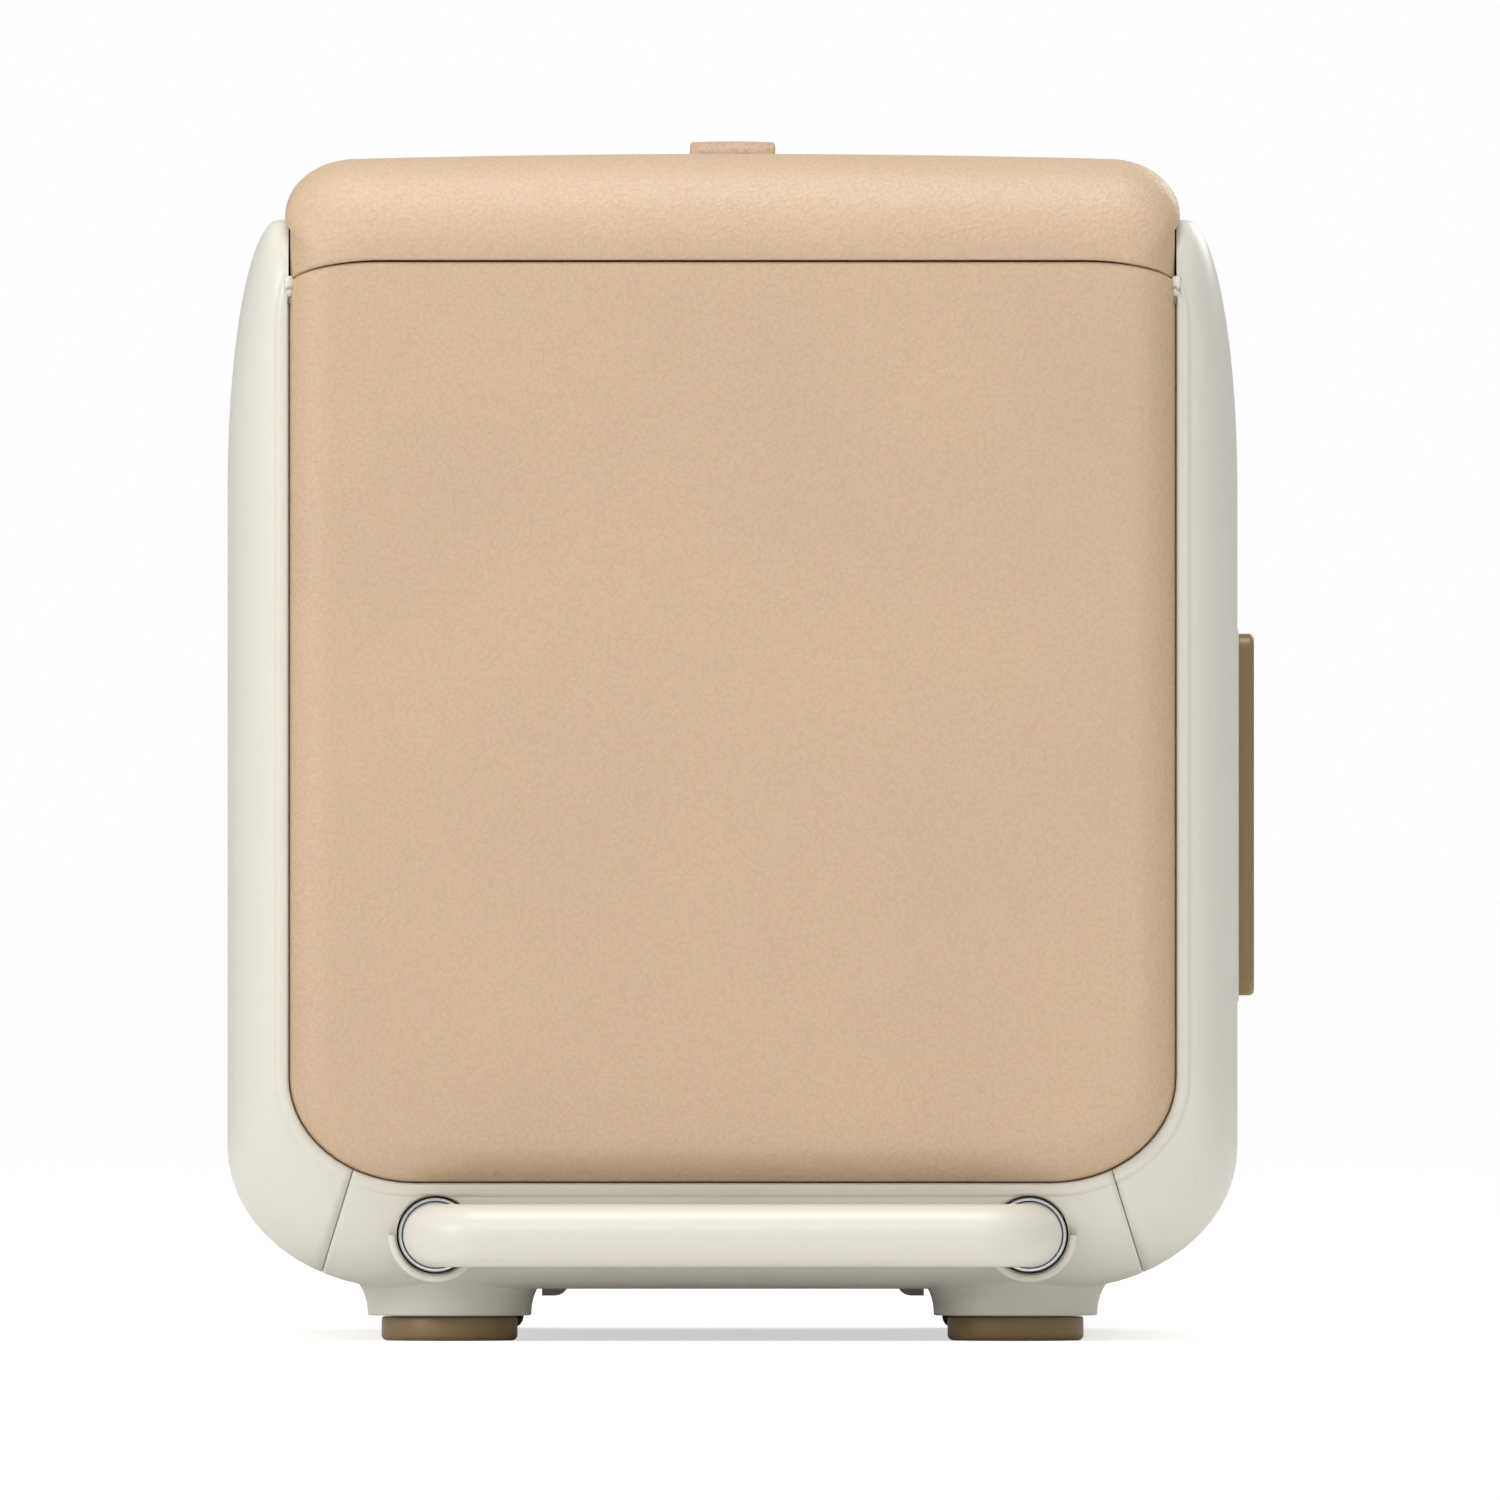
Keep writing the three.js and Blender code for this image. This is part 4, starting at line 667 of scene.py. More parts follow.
def lid_point(i, j):
    last = len(LID_DEPTHS) - 1
    depth, share = LID_DEPTHS[last - abs(i - last)]
    count = LID_HALF - abs(j - LID_HALF)
    x, z = lid_section(count)
    flared = min(1, depth / LID_PLAN_CORNER) ** 2
    plain = LID_SIDE if count <= LID_RUNS[0] + LID_RUNS[1] else x * LID_SIDE / LID_EDGE
    x = plain * (1 - flared) + x * flared
    part = max(0, 1 - depth / LID_PLAN_CORNER)
    narrow = 1 - LID_PLAN_CORNER * (1 - sqrt(1 - part * part)) / LID_EDGE
    x = x * narrow
    z = LID_FOOT + (z - LID_FOOT) * share
    y = (CROWN - depth) * (1 if i > last else -1)
    return Vector((-x if j < LID_HALF else x, y, z))


def sink(bm, rim, steps, inward):
    """Draws a rim down in steps of (inset, height), moving each point inwards in plan, and returns the new
    rim.
    """
    reached = 0
    for inset, z in steps:
        grown = drawn(bm, rim)
        rim = open_edges(grown)
        for vert in points_in(grown):
            vert.co += inward(vert.co) * (inset - reached)
            vert.co.z = z
        reached = inset
    return rim


SCOOP_HALF = (0.033, 0.075)
SCOOP_DEPTH, SCOOP_LIP, SCOOP_FILLET = 0.014, 0.004, 0.006


def oval_inward(point):
    return Vector((-point.x / SCOOP_HALF[0] ** 2, -point.y / SCOOP_HALF[1] ** 2, 0)).normalized()


bm = skin(lid_point, 2 * (len(LID_DEPTHS) - 1), 2 * LID_HALF)
upper_line = [p + Z * (2 * SEAM_GAP + 0.0011) for p in seam_line(SEAM_GAP)]
below = [Vector((-OPENING_HALF, 0, 0.3)), Vector((OPENING_HALF, 0, 0.3))] + upper_line[::-1]
hem = cut_out(bm, below, Y, [f for f in bm.faces if min(v.co.z for v in f.verts) < SEAM_HEIGHT + 0.003])
merge(bm, list({v for e in hem for v in e.verts}), 0.00004)
hem = open_edges(bm.edges)
for inset, drop in ((0.0002, 0.0006), (0.0005, 0.0004), (0.0006, 0.0001), (0.0028, 0)):
    grown = drawn(bm, hem)
    hem = open_edges(grown)
    for vert in points_in(grown):
        x, y, z = vert.co
        vert.co = Vector((x * (1 - inset / LID_SIDE), y * (1 - inset / CROWN), z - drop))

half_x, half_y = SCOOP_HALF[0] + SCOOP_LIP, SCOOP_HALF[1] + SCOOP_LIP
oval = [Vector((half_x * cos(t), half_y * sin(t), 0.4)) for t in (tau * k / 72 for k in range(72))]
rim = cut_out(bm, oval, Z, [f for f in bm.faces if centre_of(f).z > 0.395 and abs(centre_of(f).x) < 0.09])
floor_z = LID_CROWN - SCOOP_DEPTH
steps = brow(0, SCOOP_LIP, LID_CROWN - 0.0002, 6, 1) + fillet(SCOOP_LIP, SCOOP_FILLET, floor_z, 6)
steps += [(SCOOP_LIP + SCOOP_FILLET + inset, floor_z) for inset in (0.006, 0.012)]
rim = sink(bm, rim, steps, oval_inward)
close(bm, rim)
made("lid_shell", bm, "tan_grained_panel", "lid", "lid_cover", crease=38, wall=0.0022)

# ---- lid strap
# A strap of tan leather, folded and stitched along both edges, bridges the scoop. Its ends go down through
# the lid and are clamped under it.

# Strap leather, with painted shade in its grain's creases.
leather("tan_leather", (0.56, 0.40, 0.26), (0.36, 0.25, 0.15), 0.46, 900.0, 0.00012, 0.45)
strap_low, strap_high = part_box("lid_strap")
STRAP_HALF, STRAP_THICK = (strap_high.x - strap_low.x) / 2, 0.003
STRAP_LEG = (strap_high.y - strap_low.y) / 2
STRAP_BEND = 0.005
STRAP_EDGE = 0.0012


def strap_path():
    """Points of the strap's middle line, in its length and height, and the way out from it."""
    top, reach, foot = strap_high.z - STRAP_BEND, STRAP_LEG - STRAP_BEND, strap_low.z
    path = [(-STRAP_LEG, foot + (top - foot) * k / 4, -1, 0) for k in range(4)]
    for turn in (pi - t for t in quarter(6)):
        path.append((-reach + STRAP_BEND * cos(turn), top + STRAP_BEND * sin(turn), cos(turn), sin(turn)))
    half = path + [(-reach * (1 - k / 20), strap_high.z, 0, 1) for k in range(1, 21)]
    return half + [(-y, z, -ny, nz) for y, z, ny, nz in half[-2::-1]]


STRAP_PATH = strap_path()
STRAP_ROUND, STRAP_SHARE = 32, (0.38, 0.92)  # points round it; where its faces end, across and up


def strap_point(i, j):
    y, z, out_y, out_z = STRAP_PATH[i]
    turn = tau * j / STRAP_ROUND
    side, rise = cos(turn), sin(turn)
    flat = STRAP_HALF - STRAP_EDGE
    if abs(side) > STRAP_SHARE[0]:
        x, rise = copysign(flat, side) + STRAP_EDGE * side, rise / STRAP_SHARE[1]
    else:
        x, rise = flat * side / STRAP_SHARE[0] + STRAP_EDGE * side, copysign(1, rise)
    bow = 0.00035 * (x / STRAP_HALF) ** 2
    depth = STRAP_THICK / 2 * (1 - rise) + (bow if rise > 0 else 0)
    return Vector((x, y - out_y * depth, z - out_z * depth))


bm = skin(strap_point, len(STRAP_PATH) - 1, STRAP_ROUND)
close(bm, open_edges(bm.edges))
made("strap", bm, "tan_leather", "lid", "lid_strap", crease=60)

surface("thread", (0.70, 0.58, 0.42), 0.7, grain=5000.0, depth=0.00005)
bm = bmesh.new()
STITCH_PITCH, STITCH_LENGTH = 0.0042, 0.0030
for row in (-1, 1):
    for k in range(-21, 22):
        turn = Matrix.Translation((row * (STRAP_HALF - 0.0032), k * STITCH_PITCH, strap_high.z - 0.00052))
        bulge = Matrix.Diagonal((0.00035, STITCH_LENGTH / 2, 0.00035, 1))
        bmesh.ops.create_uvsphere(bm, u_segments=8, v_segments=6, radius=1.0, matrix=turn @ bulge)
made("strap_stitches", bm, "tan_leather", "lid", crease=60, look="thread")

# ---- lid inner cover and seal
# Under the lid is a white tray that drops into the storage space, with a soft grey seal round it.

surface("white_lining", (0.86, 0.86, 0.84), 0.24, grain=900.0, depth=0.00002, mottle=0.02)
surface("grey_gasket", (0.46, 0.46, 0.44), 0.75, grain=1800.0, depth=0.00004)
surface("foam", (0.78, 0.66, 0.36), 0.95, grain=700.0, depth=0.0004, mottle=0.12)
gasket_low, gasket_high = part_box("lid_gasket")
tray_low, tray_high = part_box("lid_inner")
liner_low, liner_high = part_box("inner_liner")


def rounded_plan(share, plan, radius, inset=0):
    """Point a share of the way round a rectangle of low and high x and y, which is moved in."""
    x0, x1, y0, y1 = plan
    spot = share * 4 % 4
    corner = int(spot)
    part = spot - corner
    turn = (min(1, part * 2) + corner) * pi / 2
    slide = max(0, part * 2 - 1)
    xs, ys = (x1 - inset - radius, x0 + inset + radius), (y1 - inset - radius, y0 + inset + radius)
    centres = [(xs[0], ys[0]), (xs[1], ys[0]), (xs[1], ys[1]), (xs[0], ys[1])]
    here, after = centres[corner], centres[(corner + 1) % 4]
    x = here[0] * (1 - slide) + after[0] * slide + radius * cos(turn)
    y = here[1] * (1 - slide) + after[1] * slide + radius * sin(turn)
    return x, y


TRAY_ROUND = 96
TUB, TUB_CORNER = (-0.127, 0.127, -0.218, 0.215), 0.022
plug = (-0.122, 0.122, -0.213, 0.210)
plate_half, plate_end = (tray_high.x - tray_low.x) / 2, 0.252
plate_low = gasket_high.z + 0.0003


def tray_point(i, j):
    share = j / TRAY_ROUND
    if i < 2:
        edge = rounded_plan(share, (-plate_half, plate_half, -plate_end, plate_end), 0.006)
        return Vector((*edge, plate_low + (0.0025 if i == 0 else 0)))
    steps = brow(-0.004, 0.004, plate_low, 5) + fillet(0, 0.006, tray_low.z, 6)
    steps += [(0.04, tray_low.z), (0.12, tray_low.z)]
    inset, z = steps[i - 2]
    return Vector((*rounded_plan(share, plug, max(0.001, 0.017 - inset), inset), z))


bm = skin(tray_point, 2 + 14, TRAY_ROUND)
close(bm, [e for e in bm.edges if e.is_boundary and e.verts[0].co.z < plate_low - 0.005])
for end in (-1, 1):
    block(bm, (0, end * 0.2508, 0.3652), (2 * plate_half, 0.0025, 0.0114))
    block(bm, (0, end * 0.262, 0.3697), (2 * plate_half - 0.026, 0.020, 0.0025))
made("lid_tray", bm, "white_lining", "lid", "lid_inner", crease=40, wall=0.0020)


def gasket_point(i, j):
    """A bulb seal: a round bead on a flat foot."""
    turn = tau * i / 20
    middle, half, low, high = 0.00925, 0.00675, gasket_low.z, gasket_high.z
    grow = middle + half * cos(turn) * (1.0 if sin(turn) > 0 else 0.72)
    z = (low + high) / 2 + (high - low) / 2 * max(-1, min(1, sin(turn) * 1.25))
    return Vector((*rounded_plan(j / TRAY_ROUND, TUB, TUB_CORNER + grow, -grow), z))


made("door_seal", skin(gasket_point, 20, TRAY_ROUND), "grey_gasket", "lid", "lid_gasket", crease=50)

# ---- inner lining
# The storage space is vacuum formed in glossy white sheet: a deep well in front, a shelf over the compressor
# bay behind, and a flange at the top that the seal lies on.

SHELF_Z, FLOOR_Z, DEEP_REAR = 0.225, 0.092, 0.105
FLANGE = ((liner_high.x - liner_low.x) / 2, (liner_high.y - liner_low.y) / 2)


def tub_point(i, j):
    share = j / TRAY_ROUND
    if i < 2:
        edge = rounded_plan(share, (-FLANGE[0], FLANGE[0], -FLANGE[1], FLANGE[1]), 0.004)
        return Vector((*edge, liner_high.z - (0.0020 if i == 0 else 0)))
    steps = brow(-0.005, 0.005, liner_high.z, 6) + fillet(0, 0.014, SHELF_Z, 8)
    inset, z = steps[i - 2]
    return Vector((*rounded_plan(share, TUB, TUB_CORNER - inset, inset), z))


def plan_inward(point):
    """The way in from a rounded rectangle round the deep well."""
    x0, x1, y0, y1 = TUB[0] + 0.018, TUB[1] - 0.018, TUB[2] + 0.018, DEEP_REAR - 0.018
    near = Vector((min(max(point.x, x0), x1), min(max(point.y, y0), y1), point.z))
    return (near - point).normalized()


bm = skin(tub_point, 2 + 15, TRAY_ROUND)
bmesh.ops.reverse_faces(bm, faces=bm.faces)
shelf = close(bm, [e for e in bm.edges if e.is_boundary and e.verts[0].co.z < 0.23])
WELL_LIP = 0.006
bounds = (TUB[0] + 0.0142, TUB[1] - 0.0142, TUB[2] + 0.0142, DEEP_REAR + WELL_LIP)
outline = [Vector((*rounded_plan(k / 64, bounds, 0.010), SHELF_Z)) for k in range(64)]
rim = cut_out(bm, outline, Z, shelf)
steps = brow(0, WELL_LIP, SHELF_Z, 5, 1) + fillet(WELL_LIP + 0.004, 0.012, FLOOR_Z, 7)
rim = sink(bm, rim, steps, plan_inward)
close(bm, rim)
face_out(bm)
highest = max(bm.faces, key=lambda f: centre_of(f).z + abs(f.normal.z))
if highest.normal.z < 0:
    bmesh.ops.reverse_faces(bm, faces=bm.faces)
made("storage_lining", bm, "white_lining", "cabinet", "inner_liner", crease=40, wall=0.0018)

# ---- pull handle
# A cream grip bar on two chromed telescopic tubes, which slide out of the base. The bar is one round bend
# from tube to tube, and a bronze bar on its inner side releases the tubes.

chrome = {"depth": 0.000004, "metallic": 1.0, "mottle": 0.01, "gloss": 0.05}
surface("chrome_tube", (0.80, 0.81, 0.82), 0.08, grain=900.0, **chrome)
surface("brown_trim", (0.290, 0.200, 0.100), 0.36, grain=3200.0, depth=0.00002, metallic=0.25, mottle=0.08)
grip_low, grip_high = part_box("handle_grip")
GRIP_RADIUS, GRIP_BEND, GRIP_ROUND = (grip_high.z - grip_low.z) / 2, 0.016, 32
BAR_Y = grip_low.y - MIDDLE.y + GRIP_RADIUS
LEG_END = -0.2576

bm = bmesh.new()
start = Matrix.Translation((-TUBE_X, LEG_END, TUBE_Z)) @ Matrix.Rotation(pi / 2, 4, "X")
bmesh.ops.create_circle(bm, cap_ends=False, segments=GRIP_ROUND, radius=GRIP_RADIUS, matrix=start)
rim = bm.edges[:]


def run_straight(bm, rim, way, steps=1):
    for _ in range(steps):
        grown = drawn(bm, rim)
        bmesh.ops.translate(bm, verts=points_in(grown), vec=way / steps)
        old = {v for e in rim for v in e.verts}
        rim = [e for e in edges_in(grown) if not set(e.verts) & old]
    return rim


def run_bend(bm, rim, centre, turn, steps=12):
    verts = list({v for e in rim for v in e.verts})
    swept = bmesh.ops.spin(bm, geom=verts + rim, cent=centre, axis=Z, angle=turn, steps=steps)
    return edges_in(swept["geom_last"])


corner_y = BAR_Y + GRIP_BEND
rim = run_straight(bm, rim, Vector((0, corner_y - LEG_END, 0)), 3)
rim = run_bend(bm, rim, Vector((-TUBE_X + GRIP_BEND, corner_y, 0)), pi / 2)
rim = run_straight(bm, rim, Vector((2 * (TUBE_X - GRIP_BEND), 0, 0)), 24)
rim = run_bend(bm, rim, Vector((TUBE_X - GRIP_BEND, corner_y, 0)), pi / 2)
rim = run_straight(bm, rim, Vector((0, LEG_END - corner_y, 0)), 3)
merge(bm)
close(bm, open_edges(bm.edges))
face_out(bm)
button_low, button_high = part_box("release_button")
pocket = (button_high - button_low) / 2
pocket_middle = Vector((0, BAR_Y, TUBE_Z))
half_x, half_z = pocket.x + 0.0003, pocket.z + 0.0003
outline = stadium(pocket_middle, half_z, half_x, Z, X)
near = [f for f in bm.faces if centre_of(f).y > BAR_Y and abs(centre_of(f).x) < 0.05]
rim = cut_out(bm, outline, Y, near)
floor_edges = drawn(bm, rim)
for vert in points_in(floor_edges):
    vert.co.y = button_low.y - MIDDLE.y - 0.0034
close(bm, open_edges(floor_edges))
made("grip_bar", bm, "cream_plastic", "handle_front", "handle_grip", crease=40)

button_middle = (button_low + button_high) / 2 - MIDDLE
bm = bmesh.new()
block(bm, button_middle, 2 * pocket)
soften(bm, edges_along(bm, Y), pocket.z - 0.0002, 8)
soften(bm, edges_facing(bm, Y), 0.0009, 3)
made("release_bar", bm, "brown_trim", "handle_release", "release_button")

TUBE_WALL, TUBE_EDGE = 0.0011, 0.0003
TUBES = {"guide_tube": "cabinet", "middle_tube": "handle_middle", "inner_tube": "handle_front"}
for name, body in TUBES.items():
    for side in ("left", "right"):
        low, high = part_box(name + "_" + side)
        radius, middle = (high.z - low.z) / 2, (low + high) / 2 - MIDDLE
        y0, y1 = low.y - MIDDLE.y, high.y - MIDDLE.y
        bore = radius - TUBE_WALL
        profile = [(bore, y0), (radius - TUBE_EDGE, y0), (radius, y0 + TUBE_EDGE)]
        profile += [(radius, y1), (bore, y1), (bore, y0)]
        bm = turned(profile, Vector((middle.x, 0, middle.z)), Y, 48)
        made(name + "_chrome_" + side, bm, "chrome_tube", body, name + "_" + side)

# ---- feet and wheels
# Two bronze-brown rubbery feet stand under the bosses in front. Behind are two black tyres on dark moulded
# hubs, which turn on steel axles between a cream bracket and the wall of each well.

surface("black_rubber", (0.020, 0.020, 0.019), 0.80, grain=1400.0, depth=0.00010, mottle=0.2)
surface("dark_plastic", (0.095, 0.085, 0.070), 0.50, grain=2200.0, depth=0.00003, mottle=0.08)
TYRE_ROUND, HUB_RADIUS = 0.0045, 0.0167

for name, side in SIDES:
    profile = [(0, 0.0012), (0.014, 0.0012), (0.0150, 0.0)]
    profile += arc((FOOT_RADIUS - 0.002, 0.002), (0.002, 0.002), -90, 0)
    profile += arc((FOOT_RADIUS - 0.0008, FOOT_HEIGHT - 0.0011), (0.0008, 0.0008), 0, 90, 3)
    profile += [(0.006, FOOT_HEIGHT - 0.0003), (0.006, 0.0165), (0, 0.0165)]
    bm = turned(profile, Vector((side * FOOT.x, FOOT.y, 0)))
    made("stand_foot_" + name, bm, "brown_trim", "cabinet", "foot_" + name)

    centre = Vector((side * WHEEL.x, WHEEL.y, WHEEL.z))
    half, radius, bore = (tyre_high.x - tyre_low.x) / 2, (tyre_high.z - tyre_low.z) / 2, 0.0170
    tread = []
    for k in (-1, 0, 1):
        for depth, along in ((0, -0.0014), (0.0011, -0.0009), (0.0011, 0.0009), (0, 0.0014)):
            tread.append((radius - depth, k * 0.006 + along))
    rounds, corner = (TYRE_ROUND, TYRE_ROUND), radius - TYRE_ROUND
    profile = [(bore, -half), *arc((corner, -half + TYRE_ROUND), rounds, -90, 0), *tread]
    profile += [*arc((corner, half - TYRE_ROUND), rounds, 0, 90), (bore, half), (bore, -half)]
    bm = turned(profile, centre, X, 72)
    made("tyre_" + name, bm, "black_rubber", "wheel_" + name, "wheel_tyre_" + name)

    inner = [(0.0042, -half - 0.001), (0.0082, -half - 0.001), (0.0086, -half + 0.003)]
    inner += [(HUB_RADIUS - 0.003, -half + 0.003), (HUB_RADIUS - 0.0022, -half + 0.0006)]
    inner += [(HUB_RADIUS, -half + 0.0002)]
    profile = inner + [(across, -along) for across, along in inner[::-1]] + inner[:1]
    bm = turned(profile, centre, X, 60)
    for k in range(6):
        out = Matrix.Rotation(tau * k / 6, 4, "X") @ Matrix.Translation((0, 0, 0.0110))
        spoke = out @ Matrix.Diagonal((2 * half - 0.004, 0.0018, 0.0052, 1))
        bmesh.ops.create_cube(bm, size=1.0, matrix=Matrix.Translation(centre) @ spoke)
    made("hub_" + name, bm, "dark_plastic", "wheel_" + name, "wheel_hub_" + name)

# ---- control panel
# On the right side a bronze-brown bezel stands proud of the shell inside a raised cream rim. It holds a dark
# display window and three round cream keys: cooler, warmer and power.

glass = {"depth": 0.0, "mottle": 0.1, "gloss": 0.02, "Coat_Weight": 0.6}
surface("display_glass", (0.006, 0.007, 0.008), 0.05, grain=60.0, **glass)
FACE_X = panel_high.x - MIDDLE.x
SEAT_X = panel_low.x - MIDDLE.x
BEZEL_CORNER, BEZEL_EDGE = 0.006, 0.0017
window_low, window_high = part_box("display_window")
key_names = ("down", "up", "power")
key_boxes = {name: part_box("button_" + name) for name in key_names}
KEY_RADIUS, KEY_GAP = 0.0065, 0.0003

bm = bmesh.new()
bezel_middle = Vector(((FACE_X + SEAT_X) / 2, panel_y, panel_z))
bezel_size = Vector((FACE_X - SEAT_X, panel_across, panel_up))
block(bm, bezel_middle, bezel_size)
soften(bm, edges_along(bm, X), BEZEL_CORNER, 8)
soften(bm, edges_facing(bm, X), BEZEL_EDGE, 4)


def recess(bm, outline, depth):
    """Sinks an outline into the bezel's face and closes its floor."""
    near = [f for f in bm.faces if f.normal.x > 0.9 and centre_of(f).x > FACE_X - 0.0005]
    rim = cut_out(bm, outline, X, near)
    grown = drawn(bm, rim)
    for vert in points_in(grown):
        vert.co.x = FACE_X - depth
    close(bm, open_edges(grown))


window_low, window_high = window_low - MIDDLE, window_high - MIDDLE
y0, y1 = window_low.y - KEY_GAP, window_high.y + KEY_GAP
z0, z1 = window_low.z - KEY_GAP, window_high.z + KEY_GAP
recess(bm, [Vector((FACE_X, y, z)) for y, z in ((y0, z0), (y1, z0), (y1, z1), (y0, z1))], 0.0021)
for name in key_names:
    low, high = key_boxes[name]
    recess(bm, ring(Vector((FACE_X, panel_y, (low.z + high.z) / 2)), KEY_RADIUS + KEY_GAP, Y, Z, 40), 0.0050)
face_out(bm)
made("panel_bezel", bm, "brown_trim", "cabinet", "control_bezel")

bm = bmesh.new()
size, spot = window_high - window_low, (window_high + window_low) / 2
block(bm, spot, size)
soften(bm, bm.edges[:], 0.0003, 2)
made("display_pane", bm, "display_glass", "cabinet", "display_window")

# Raised rim moulded round the bezel.
RIM_WIDTH, RIM_PROUD = 0.0027, 0.0012


def rim_point(i, j):
    turn = pi * i / 8
    grow = KEY_GAP + (RIM_WIDTH - KEY_GAP) * (1 - cos(turn)) / 2
    height = -0.0006 + (RIM_PROUD + 0.0006) * sin(turn)
    half_y, half_z = panel_across / 2 + grow, panel_up / 2 + grow
    plan = (panel_y - half_y, panel_y + half_y, panel_z - half_z, panel_z + half_z)
    return Vector((HALF + height, *rounded_plan(j / 64, plan, BEZEL_CORNER + grow)))


made("panel_rim", skin(rim_point, 8, 64), "cream_plastic", "cabinet", crease=60)

for name in key_names:
    low, high = key_boxes[name]
    face_x, spot = high.x - MIDDLE.x, Vector((0, panel_y, (low.z + high.z) / 2))
    dish = 0.0004
    profile = [(0, face_x - dish), (0.0030, face_x - dish * 0.8), (0.0050, face_x - 0.0001), (0.0056, face_x)]
    profile += arc((KEY_RADIUS - 0.0008, face_x - 0.0008), (0.0008, 0.0008), 80, 0, 4)
    profile += [(KEY_RADIUS, low.x - MIDDLE.x + 0.0035), (0, low.x - MIDDLE.x + 0.0035)]
    bm = turned(profile, spot, X, 48)
    if name == "power":
        foot, top = face_x - 0.0005, face_x - 0.00012
        absorb(bm, turned([(0.0021, foot), (0.0021, top), (0.0027, top), (0.0027, foot)], spot, X, 32))
    else:
        laid = Matrix.Translation(spot + X * (face_x - 0.00035)) @ Matrix.Rotation(pi / 2, 4, "Y")
        point = laid @ Matrix.Rotation(pi if name == "up" else 0, 4, "Z") @ Matrix.Rotation(pi / 2, 4, "Z")
        size = {"radius1": 0.0024, "radius2": 0.0022, "depth": 0.0004}
        bmesh.ops.create_cone(bm, cap_ends=True, segments=3, matrix=point, **size)
    made("key_cap_" + name, bm, "cream_plastic", "key_" + name, "button_" + name, crease=40)

# ---- pieces kept as made
# Metal hinges, brackets, the machinery and the insulation keep their solids; each gets its own finish, and
# what shows from outside gets small rounds on its edges.

surface("steel", (0.50, 0.51, 0.52), 0.32, grain=1100.0, depth=0.00001, metallic=1.0, mottle=0.04, gloss=0.2)
surface("black_paint", (0.016, 0.016, 0.017), 0.34, grain=500.0, depth=0.00006, mottle=0.2, Coat_Weight=0.3)
surface("lamp_lens", (0.88, 0.88, 0.84), 0.30, grain=800.0, depth=0.00010, mottle=0.02)
surface("aluminium_plate", (0.72, 0.73, 0.74), 0.36, grain=400.0, depth=0.00005, metallic=1.0)
surface(
    "copper_tube", (0.66, 0.33, 0.20), 0.28, grain=900.0, depth=0.00001, metallic=1.0, mottle=0.25, gloss=0.25
)
surface("circuit_board", (0.03, 0.12, 0.055), 0.45, grain=420.0, depth=0.00008, mottle=0.35)

# A star stands for left and right.
KEPT = {
    "steel": "hinge_base_* hinge_leaf_* hinge_pin_* wheel_axle_* tube_anchor_bar chassis_plate "
    "compressor_tray strap_clamp_front strap_clamp_rear",
    "cream_plastic": "wheel_bracket_*",
    "brown_trim": "vent_grille",
    "dark_plastic": "power_inlet fan_frame fan_rotor",
    "black_paint": "compressor",
    "foam": "insulation_foam lid_foam",
    "aluminium_plate": "evaporator_plate",
    "copper_tube": "refrigerant_line condenser_coil",
    "circuit_board": "power_board control_board",
    "lamp_lens": "interior_lamp",
}
ROUNDED = {0.0004: "hinge_base hinge_leaf vent_grille", 0.0005: "power_inlet", 0.0008: "wheel_bracket"}
ROUNDED[0.001] = "interior_lamp"
for slot, names in KEPT.items():
    pairs = [(name, ("left", "right") if "*" in name else ("",)) for name in names.split()]
    for name in (name.replace("*", side) for name, sides in pairs for side in sides):
        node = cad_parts[name]
        node.material_slots[0].material = FINISHES[slot]
        for width, stems in ROUNDED.items():
            if name.startswith(tuple(stems.split())):
                weld = node.modifiers.new("weld", "WELD")
                weld.merge_threshold = 0.00002
                soft = node.modifiers.new("edges", "BEVEL")
                soft.width, soft.segments, soft.angle_limit = width, 2, radians(40)
                soft.harden_normals = False

# Screws: plain pan heads hold the hinge plates.
bm = bmesh.new()
for hinge in ("left", "right"):
    low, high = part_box("hinge_base_" + hinge)
    middle = (low + high) / 2 - MIDDLE
    for dx in (-0.015, 0, 0.015):
        spot = Vector((middle.x + dx, 0, low.z + 0.010 + (0.005 if dx else 0)))
        y = CROWN + 0.0035
        profile = [(0, y + 0.0014), *arc((0.0010, y), (0.0022, 0.0014), 90, 0, 5), (0, y)]
        absorb(bm, turned(profile, spot, Y, 20))
made("hinge_screws", bm, "steel", "cabinet")

# ---- room
# A wide pale floor under a white sky, both brightened to the eye only, and large soft lamps: a key low on the
# left, one in front, one overhead and one behind.

FLOOR_REACH, AMBIENT = 60.0, 0.44

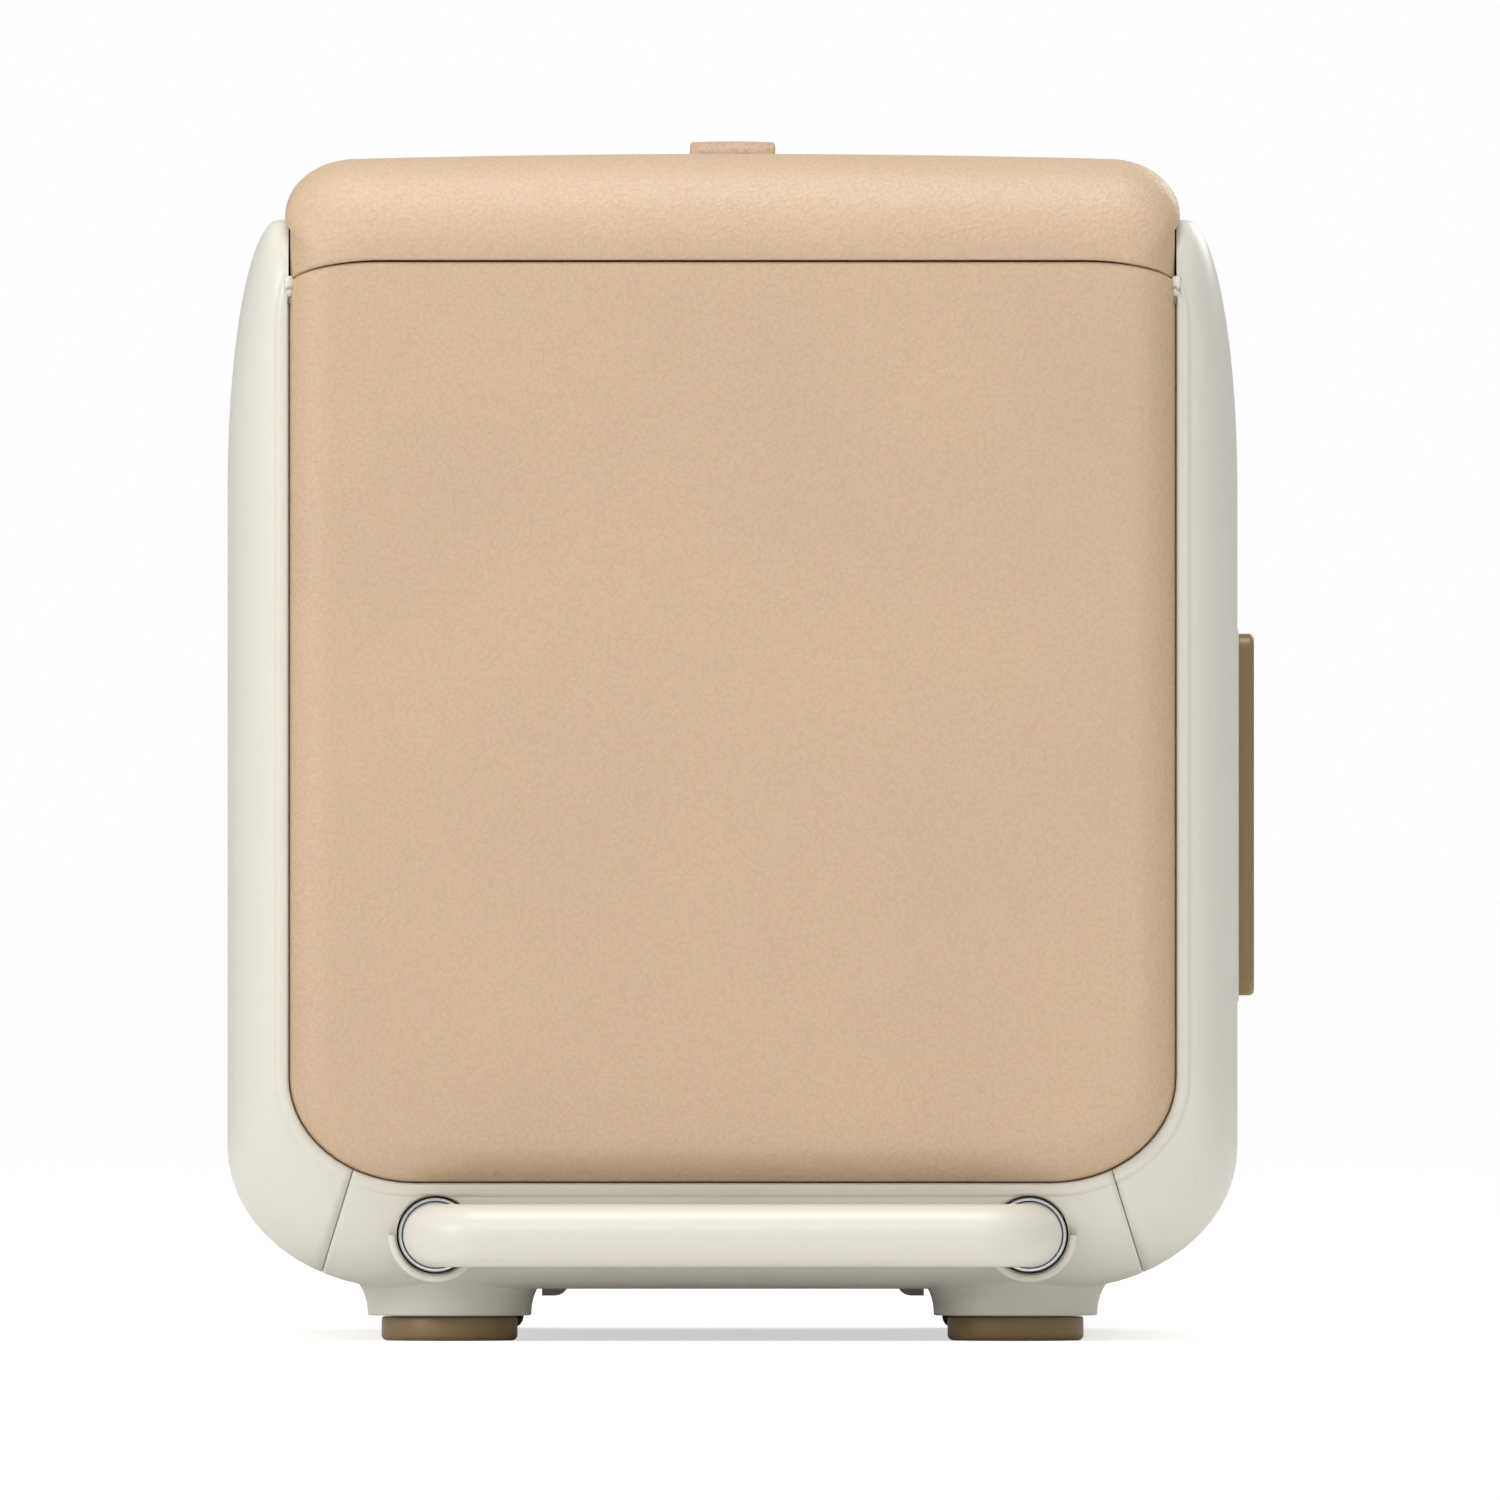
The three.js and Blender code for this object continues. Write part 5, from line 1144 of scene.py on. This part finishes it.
bm = bmesh.new()
bmesh.ops.create_grid(bm, x_segments=1, y_segments=1, size=FLOOR_REACH)
mesh = bpy.data.meshes.new("floor")
bm.to_mesh(mesh)
bm.free()
floor = placed("floor", mesh)
backdrop = bpy.data.materials.new("pale_floor")
backdrop.use_nodes = True
shader = backdrop.node_tree.nodes["Principled BSDF"]
shader.inputs["Base Color"].default_value = (0.98, 0.98, 0.98, 1)
shader.inputs["Roughness"].default_value = 0.9
shader.inputs["Specular IOR Level"].default_value = 0.1
shader.inputs["Emission Color"].default_value = (1.0, 1.0, 1.0, 1)
mesh.materials.append(backdrop)

world = bpy.data.worlds.new("studio")
bpy.context.scene.world = world
world.use_nodes = True
sky = world.node_tree.nodes["Background"]
sky.inputs["Color"].default_value = (1.0, 1.0, 1.0, 1)


def brighten_to_eye(tree, strength, base):
    """Adds brightness to a strength socket for what is seen directly, and not for the light it gives."""
    seen = shader_node(tree, "LightPath").outputs["Is Camera Ray"]
    tree.links.new(maths(tree, "MULTIPLY_ADD", seen, 1 - AMBIENT, base), strength)


brighten_to_eye(backdrop.node_tree, shader.inputs["Emission Strength"], 0.0)
brighten_to_eye(world.node_tree, sky.inputs["Strength"], AMBIENT)


def lamp(name, spot, target, size, power):
    light = bpy.data.lights.new(name, "AREA")
    light.shape, light.size, light.energy = "SQUARE", size, power
    thing = placed(name, light)
    thing.location = spot
    thing.rotation_euler = (Vector(target) - Vector(spot)).to_track_quat("-Z", "Y").to_euler()


lamp("key_light", (-2.6, -2.4, 1.5), (0, 0, 0.2), 1.6, 38)
lamp("front_light", (-0.3, -3.4, 2.2), (0, 0, 0.3), 1.2, 18)
lamp("top_light", (0, -0.7, 2.4), (0, -0.1, 0.2), 1.4, 30)
lamp("rear_light", (1.8, 3.2, 1.8), (0, 0, 0.2), 1.8, 30)

bpy.context.scene.view_settings.view_transform = "Standard"
camera = bpy.data.cameras.new("camera")
CAMERA_DISTANCE, VIEW_WIDTH = 20.0, 0.510
camera.sensor_width = 36
camera.lens = 36 * CAMERA_DISTANCE / VIEW_WIDTH
stand = placed("camera", camera)
stand.location = (MIDDLE.x + 0.00595, MIDDLE.y - FRAME_END - CAMERA_DISTANCE, 0.2013)
stand.rotation_euler = (pi / 2, 0, 0)
bpy.context.scene.camera = stand
